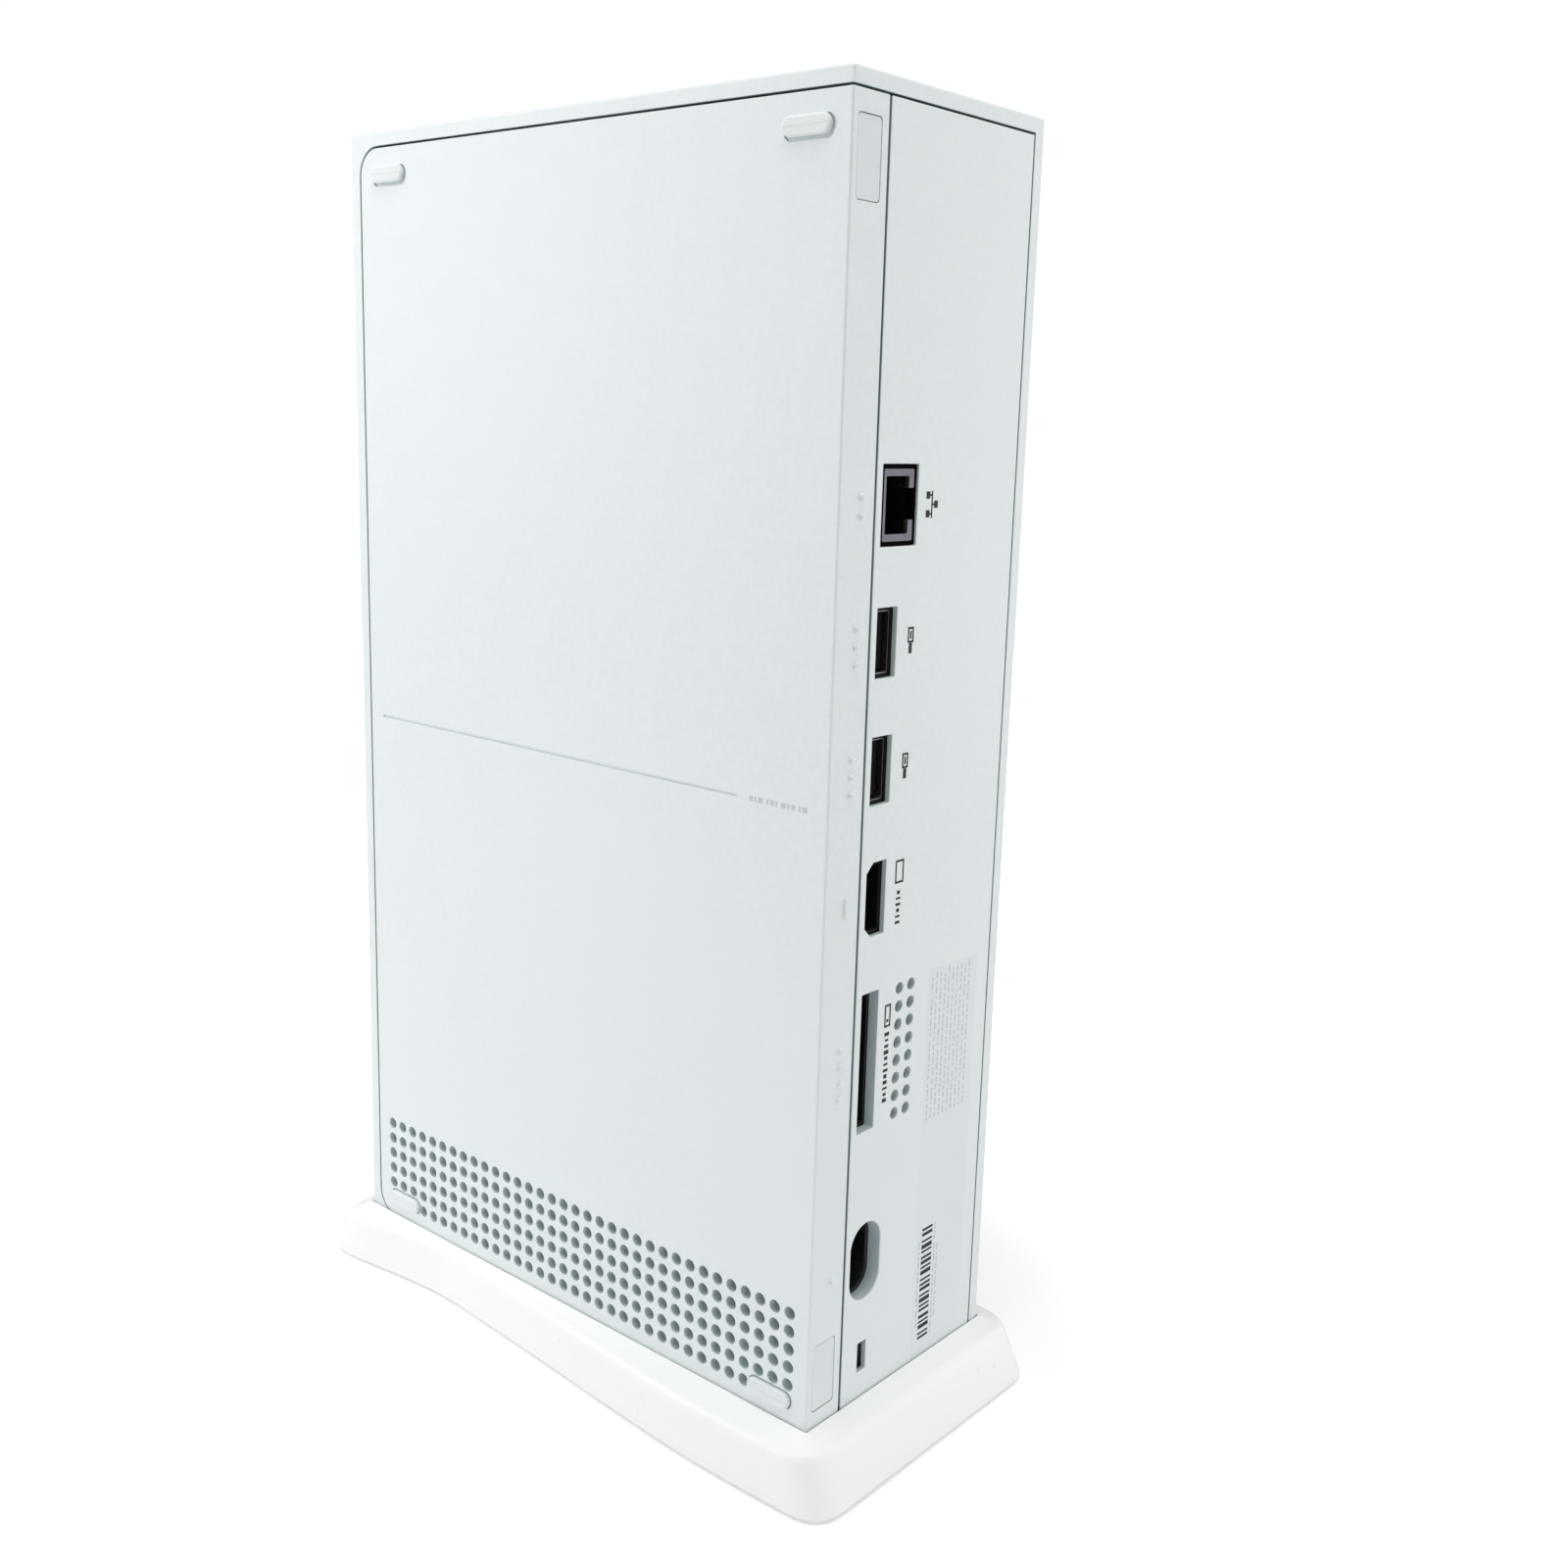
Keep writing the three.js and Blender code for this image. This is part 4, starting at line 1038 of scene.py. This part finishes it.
def fan_rotor():
    hub_low, hub_high = -26.4, -12.9
    hub = prism(circle(0, GRILLE_Z, 19, 72), "x", (hub_low, hub_high))
    bore = prism(circle(0, GRILLE_Z, 3.4, 24), "x", (hub_low + 4, hub_high + 1))
    piece("fan_hub", hub, black, "black_plastic", ["fan_rotor"], 1.2, 4, (bore,), body="fan_rotor")
    blades = together([blade(i * 40) for i in range(9)])
    plain("fan_blades", blades, black, "black_plastic", "fan_rotor")
    badge = prism(circle(0, GRILLE_Z, 12, 48), "x", (hub_low - 0.05, hub_low + 0.02))
    hub_film = film("hub_disc_film", linear(170, 174, 178))
    piece("fan_hub_disc", badge, hub_film, "steel", bevel=0.02, body="fan_rotor")


fan_rotor()

# ---- Front controls ----

# The buttons' stems end a little way in front of the board that carries their switches.
FRONT_BOARD_FACE = -67.2
STEM_TO_BOARD = 1.6


def button(name, x, z, radius):
    inside = -BACK + SHELL_WALL
    cap = object_of(name, prism(circle(x, z, radius, 64), "y", (-BACK + 0.1, inside + 1)))
    join(
        cap,
        prism(circle(x, z, radius + 1.4, 64), "y", (inside + 0.3, inside + 1.5)),
        prism(circle(x, z, 1.4, 24), "y", (inside + 1.2, FRONT_BOARD_FACE - STEM_TO_BOARD)),
    )
    tidy(cap)
    soften(cap, 0.3, 3)
    finished(cap, shell_white, "shell_white", name, body=name)


button("power_button", **POWER_BUTTON)
button("pair_button", **PAIR_BUTTON)


def power_symbol():
    x, z = POWER_BUTTON["x"], POWER_BUTTON["z"]
    ring = arc(x, z, 2.6, 125, 415, 40) + arc(x, z, 2.15, 415, 125, 40)
    face = (-BACK + 0.07, -BACK + 0.11)
    bar = rectangle(about(x, 0.45), (z + 0.9, z + 3.1))
    symbol = together([prism(ring, "y", face), prism(bar, "y", face)])
    plain("power_symbol", symbol, ink, "dark_plastic", "power_button")


power_symbol()

# ---- Stand ----

# Half-width and y along one long side of the stand, at the ground, then the corner sizes.
STAND_SIDE = [
    (38.7, -80),
    (38.3, -73),
    (36.5, -61),
    (35.2, -48),
    (35.0, -38),
    (36.0, -22),
    (37.5, 0),
    (39.2, 22),
    (40.5, 42),
    (40.8, 58),
    (40.4, 77),
]
STAND_END = 86.5
FRONT_CORNER = 6.0
BACK_CORNER = 8.5

# How far the sides and the ends of the stand lean in by the time they reach its ridge.
SIDE_LEAN = 0.03
END_LEAN = 0.058

# The stand's outside, from the ground up: share of the lean, how far the rounding draws in, and height.
STAND_PROFILE = [
    (0, 0.55, 0.6),
    (0, 0.2, 0.75),
    (0, 0.03, 1.05),
    (0, 0, 1.5),
    (0.35, 0, 5.5),
    (0.7, 0, 9.3),
    (0.9, 0.05, 11.35),
    (0.96, 0.28, 12.05),
    (0.99, 0.65, 12.5),
    (1, 1.15, 12.8),
    (1, 1.75, 12.98),
]
ROUNDING = STAND_PROFILE[-1][1]
LEDGE_TOP = 14.4


def quadratic(start, control, end, steps):
    points = []
    for i in range(steps + 1):
        t = i / steps
        a, b, c = (1 - t) ** 2, 2 * t * (1 - t), t * t
        points.append(tuple(a * start[k] + b * control[k] + c * end[k] for k in (0, 1)))
    return points


def spline(points, per_span=6):
    """A Catmull-Rom curve through the points."""

    def between(a, b, c, d, t):
        return 0.5 * (
            2 * b + (c - a) * t + (2 * a - 5 * b + 4 * c - d) * t * t + (3 * b - a - 3 * c + d) * t**3
        )

    made = []
    for i in range(len(points) - 1):
        near_by = [points[min(max(i + k, 0), len(points) - 1)] for k in (-1, 0, 1, 2)]
        for step in range(per_span):
            made.append(tuple(between(*(point[k] for point in near_by), step / per_span) for k in (0, 1)))
    return made + [points[-1]]


def stand_plan(inset):
    side = [(x - inset, y) for x, y in spline(STAND_SIDE)]
    end = STAND_END - inset
    first, last = side[0], side[-1]
    front = quadratic((first[0] - FRONT_CORNER, -end), (first[0], -end), first, 12)
    back = quadratic(last, (last[0], end), (last[0] - BACK_CORNER, end), 12)
    right = front + side[1:-1] + back
    return right + [(-x, y) for x, y in reversed(right)]


def stand_rings(half_x, half_y):
    """Rings up the stand's skirt and over its ridge, then along the ledge to the console's rectangle."""

    def nearest(point, height):
        return Vector((max(-half_x, min(half_x, point.x)), max(-half_y, min(half_y, point.y)), height))

    rings = []
    for share, inset, height in STAND_PROFILE:
        ring = []
        for x, y in stand_plan(0):
            outer = Vector((x * (1 - SIDE_LEAN * share), y * (1 - END_LEAN * share), height))
            inner = nearest(outer, height)
            ledge = max((inner - outer).length, 0.01)
            ring.append(outer.lerp(inner, min(inset / ledge, 0.55 * inset / ROUNDING)))
        rings.append(ring)
    crest = [nearest(point, LEDGE_TOP) for point in rings[-1]]
    ridge = rings[-1]
    for share, rise in ((0.5, 0.42), (0.93, 0.97)):
        ring = [a.lerp(b, share) for a, b in zip(ridge, crest)]
        for point in ring:
            point.z = ridge[0].z + rise * (LEDGE_TOP - ridge[0].z)
        rings.append(ring)
    rings.append(crest)
    return [[point * MM for point in ring] for ring in rings]


PAD_PLACES = [(-27, -72), (27, -72), (-29, 72), (29, 72)]


def stand_base():
    pocket_x = SIDE + POCKET_CLEARANCE
    pocket_y = BACK + POCKET_CLEARANCE
    bm = bmesh.new()
    bm.from_mesh(loft(stand_rings(pocket_x - 0.02, pocket_y - 0.02)))
    bmesh.ops.remove_doubles(bm, verts=bm.verts, dist=1e-6)
    obj = object_of("stand", mesh_of(bm))
    cut(obj, prism(rounded((-pocket_x, pocket_x), (-pocket_y, pocket_y), 0.4, 3), "z", (POCKET_FLOOR, 20)))
    hollow = object_of("hollow", prism(stand_plan(4.0), "z", (-5, POCKET_FLOOR - 3)))
    cut(
        hollow,
        *[box((-50, 50), about(y, 2.2), (-6, 20)) for y in (-40, 0, 40)],
        box((-1.1, 1.1), (-100, 100), (-6, 20)),
        *[prism(circle(x, y, 8, 32), "z", (-6, 20)) for x, y in PAD_PLACES],
    )
    cut(obj, hollow.data.copy())
    bpy.data.objects.remove(hollow)
    cut(obj, together([prism(circle(x, y, 6.3, 32), "z", (-5, 1.7)) for x, y in PAD_PLACES]))
    slots = [pill(about(x, 20), about(y, 7), 8) for y in (-60, -20, 20, 60) for x in (-16, 16)]
    cut(obj, together([prism(slot, "z", (-1, 20)) for slot in slots]))
    shade(obj, 40)
    normals = obj.modifiers.new("weighted_normals", "WEIGHTED_NORMAL")
    normals.keep_sharp = True
    settle(obj)
    finished(obj, stand_white, "stand_white", "stand_base", body="stand")


stand_base()

# ---- CAD nodes that stay, with finer edges and their own materials ----


def carry(names, material, bevel=0.15):
    for name in names:
        obj = nodes[name]
        for slot in obj.material_slots:
            slot.material = material
        weld = obj.modifiers.new("weld", "WELD")
        weld.merge_threshold = 1e-6
        flat = obj.modifiers.new("merge_flat_faces", "DECIMATE")
        flat.decimate_type = "DISSOLVE"
        flat.angle_limit = math.radians(1)
        rounding = obj.modifiers.new("rounded_edges", "BEVEL")
        rounding.width = bevel * MM
        rounding.segments = 2
        rounding.limit_method = "ANGLE"
        rounding.angle_limit = math.radians(EDGE_ANGLE)
        rounding.use_clamp_overlap = True
        normals = obj.modifiers.new("weighted_normals", "WEIGHTED_NORMAL")
        normals.keep_sharp = True


def numbered(stem, count):
    return [f"{stem}_{i}" for i in range(1, count + 1)]


carry(["end_pad_front", "end_pad_back"], foot_white, 0.2)
carry(["case_screw_upper", "case_screw_lower", *numbered("board_screw", 4)], zinc, 0.12)
carry(["lock_bracket", "chassis_shield", "heatsink_clamp", "power_switch", "pair_switch"], zinc)
carry(["clock_battery"], zinc)
carry(["processor"], nickel)
carry(["heatsink"], extruded)
carry(["motherboard", "front_board", "power_button_board", "storage_card", "wireless_card"], board, 0.08)
carry(["ir_receiver", *numbered("memory_chip", 5)], resin, 0.12)
carry(["inlet_lead", "fan_lead"], resin, 0.3)
carry(["fan_frame", "speaker", "board_power_plug"], black, 0.25)
carry(["power_supply"], charcoal, 0.5)
carry(["front_ribbon"], amber, 0.03)
carry(numbered("stand_pad", 4), pad_grey, 0.3)

# ---- Floor, light and camera ----

# How bright the room is behind the object and on the viewer's side, and where between the two it
# changes: the range of the direction's cosine with the one towards the viewer.
ROOM_BEHIND = 0.3
ROOM_BEFORE = 0.7
ROOM_FADE = (-0.75, -0.2)
TOWARDS_VIEWER = (0.766, 0.643, 0.0)

# How much the wide floor glows, and the round of floor that the viewer sees: its radius in metres,
# how much it glows in the middle, and between which distances its glow rises to full.
FLOOR_GLOW = 0.02
FLOOR_RADIUS = 1.3
SEEN_FLOOR_GLOW = 0.19
SEEN_FLOOR_FADE = (0.1, 0.32)

# Soft boxes: place, target, width and height in metres, and power in watts.
SOFT_BOXES = {
    "soft_left": ((0.36, -0.46, 0.42), (0.0, -0.05, 0.18), (0.4, 0.5), 1.25),
    "soft_right": ((-0.50, 0.42, 0.30), (-0.03, 0.0, 0.13), (0.5, 0.6), 0.8),
    "soft_top": ((0.24, 0.24, 1.2), (0.03, 0.05, 0.0), (0.5, 0.5), 5.3),
}

# A dark card that the studio keeps near the viewer: place, and width and height in metres.
CARD_PLACE = (0.22, 0.24, 0.41)
CARD_SIZE = (0.36, 0.3)

# The photo's camera: its lens in millimetres, picture shift and place in metres, then in degrees the
# azimuth and elevation that it looks along, and its roll.
CAMERA_LENS = 37.84
CAMERA_SHIFT = (-0.00577, -0.01859)
CAMERA_PLACE = (0.27450, 0.27007, 0.22233)
CAMERA_TURN = (220.024, -11.450, 1.791)


def paper(name):
    s = Shader(name, 0.9, specular=0.1)
    s.mottle(3, 2, (0.93, 0.93, 0.93), (0.95, 0.95, 0.95))
    s.shader.inputs["Emission Color"].default_value = (1, 1, 1, 1)
    return s


def floor():
    """A wide floor that lights the object, and a round of it, fading to white, that the viewer sees."""
    bpy.ops.mesh.primitive_plane_add(size=8, location=(0, 0, -0.001))
    wide = bpy.context.object
    wide.name = "floor_beyond"
    wide.visible_camera = False
    s = paper("floor_paper")
    s.shader.inputs["Emission Strength"].default_value = FLOOR_GLOW
    wide.data.materials.append(s.material)
    bpy.ops.mesh.primitive_circle_add(vertices=128, radius=FLOOR_RADIUS, fill_type="NGON")
    near_by = bpy.context.object
    near_by.name = "floor"
    for way in ("diffuse", "glossy", "shadow"):
        setattr(near_by, f"visible_{way}", False)
    s = paper("floor_paper_fading")
    away = s.node("ShaderNodeVectorMath", operation="LENGTH")
    s.link(s.where, away.inputs[0])
    glow = s.spread(away.outputs["Value"], SEEN_FLOOR_GLOW, 1.0, SEEN_FLOOR_FADE)
    s.link(glow, s.shader.inputs["Emission Strength"])
    near_by.data.materials.append(s.material)


floor()


def facing(place, target):
    return (Vector(target) - Vector(place)).to_track_quat("-Z", "Y").to_euler()


def soft_box(name, place, target, size, power):
    data = bpy.data.lights.new(name, "AREA")
    data.shape = "RECTANGLE"
    data.size, data.size_y = size
    data.energy = power
    obj = bpy.data.objects.new(name, data)
    bpy.context.scene.collection.objects.link(obj)
    obj.location = place
    obj.rotation_euler = facing(place, target)
    obj.visible_camera = False


for name, (place, target, size, power) in SOFT_BOXES.items():
    soft_box(name, place, target, size, power)


def dark_card():
    bpy.ops.mesh.primitive_plane_add(size=1, location=CARD_PLACE)
    obj = bpy.context.object
    obj.name = "dark_card"
    obj.scale = (*CARD_SIZE, 1)
    obj.rotation_euler = facing(CARD_PLACE, (0.03, 0.07, 0.22))
    obj.visible_camera = False
    s = Shader("card_felt", 0.95, specular=0.1)
    s.mottle(40, 2, (0.03, 0.03, 0.03), (0.045, 0.045, 0.045))
    obj.data.materials.append(s.material)


dark_card()


def surroundings():
    world = bpy.data.worlds.new("pale_room")
    bpy.context.scene.world = world
    world.use_nodes = True
    tree = world.node_tree
    where = tree.nodes.new("ShaderNodeTexCoord")
    towards = tree.nodes.new("ShaderNodeVectorMath")
    towards.operation = "DOT_PRODUCT"
    towards.inputs[1].default_value = TOWARDS_VIEWER
    tree.links.new(where.outputs["Generated"], towards.inputs[0])
    fade = tree.nodes.new("ShaderNodeMapRange")
    fade.interpolation_type = "SMOOTHSTEP"
    set_range(fade, ROOM_FADE, (ROOM_BEHIND, ROOM_BEFORE))
    tree.links.new(towards.outputs["Value"], fade.inputs["Value"])
    tree.links.new(fade.outputs["Result"], tree.nodes["Background"].inputs["Strength"])
    tree.nodes["Background"].inputs["Color"].default_value = (1.0, 1.0, 1.0, 1.0)


surroundings()


def backdrop():
    """A white dome that only the viewer sees, so that every view has a plain white background."""
    bpy.ops.mesh.primitive_uv_sphere_add(radius=3.9, segments=48, ring_count=24)
    obj = bpy.context.object
    obj.name = "backdrop"
    s = Shader("backdrop_paper", 1.0, specular=0.0)
    s.mottle(3, 2, (0.02, 0.02, 0.02), (0.03, 0.03, 0.03))
    s.shader.inputs["Emission Color"].default_value = (1, 1, 1, 1)
    s.shader.inputs["Emission Strength"].default_value = 1.0
    obj.data.materials.append(s.material)
    for way in ("diffuse", "glossy", "transmission", "volume_scatter", "shadow"):
        setattr(obj, f"visible_{way}", False)


backdrop()


def camera():
    data = bpy.data.cameras.new("camera")
    data.lens = CAMERA_LENS
    data.sensor_width = 36
    data.shift_x, data.shift_y = CAMERA_SHIFT
    data.clip_start = 0.01
    obj = bpy.data.objects.new("camera", data)
    bpy.context.scene.collection.objects.link(obj)
    azimuth, elevation, roll = (math.radians(angle) for angle in CAMERA_TURN)
    level = math.cos(elevation)
    forward = Vector((level * math.cos(azimuth), level * math.sin(azimuth), math.sin(elevation)))
    right = forward.cross(Vector((0, 0, 1))).normalized()
    up = right.cross(forward)
    across = math.cos(roll) * right + math.sin(roll) * up
    upward = -math.sin(roll) * right + math.cos(roll) * up
    turned = Matrix((across, upward, -forward)).transposed().to_4x4()
    obj.matrix_world = Matrix.Translation(CAMERA_PLACE) @ turned
    bpy.context.scene.camera = obj


camera()
bpy.context.scene.view_settings.view_transform = "Standard"
bpy.context.scene.view_settings.look = "None"
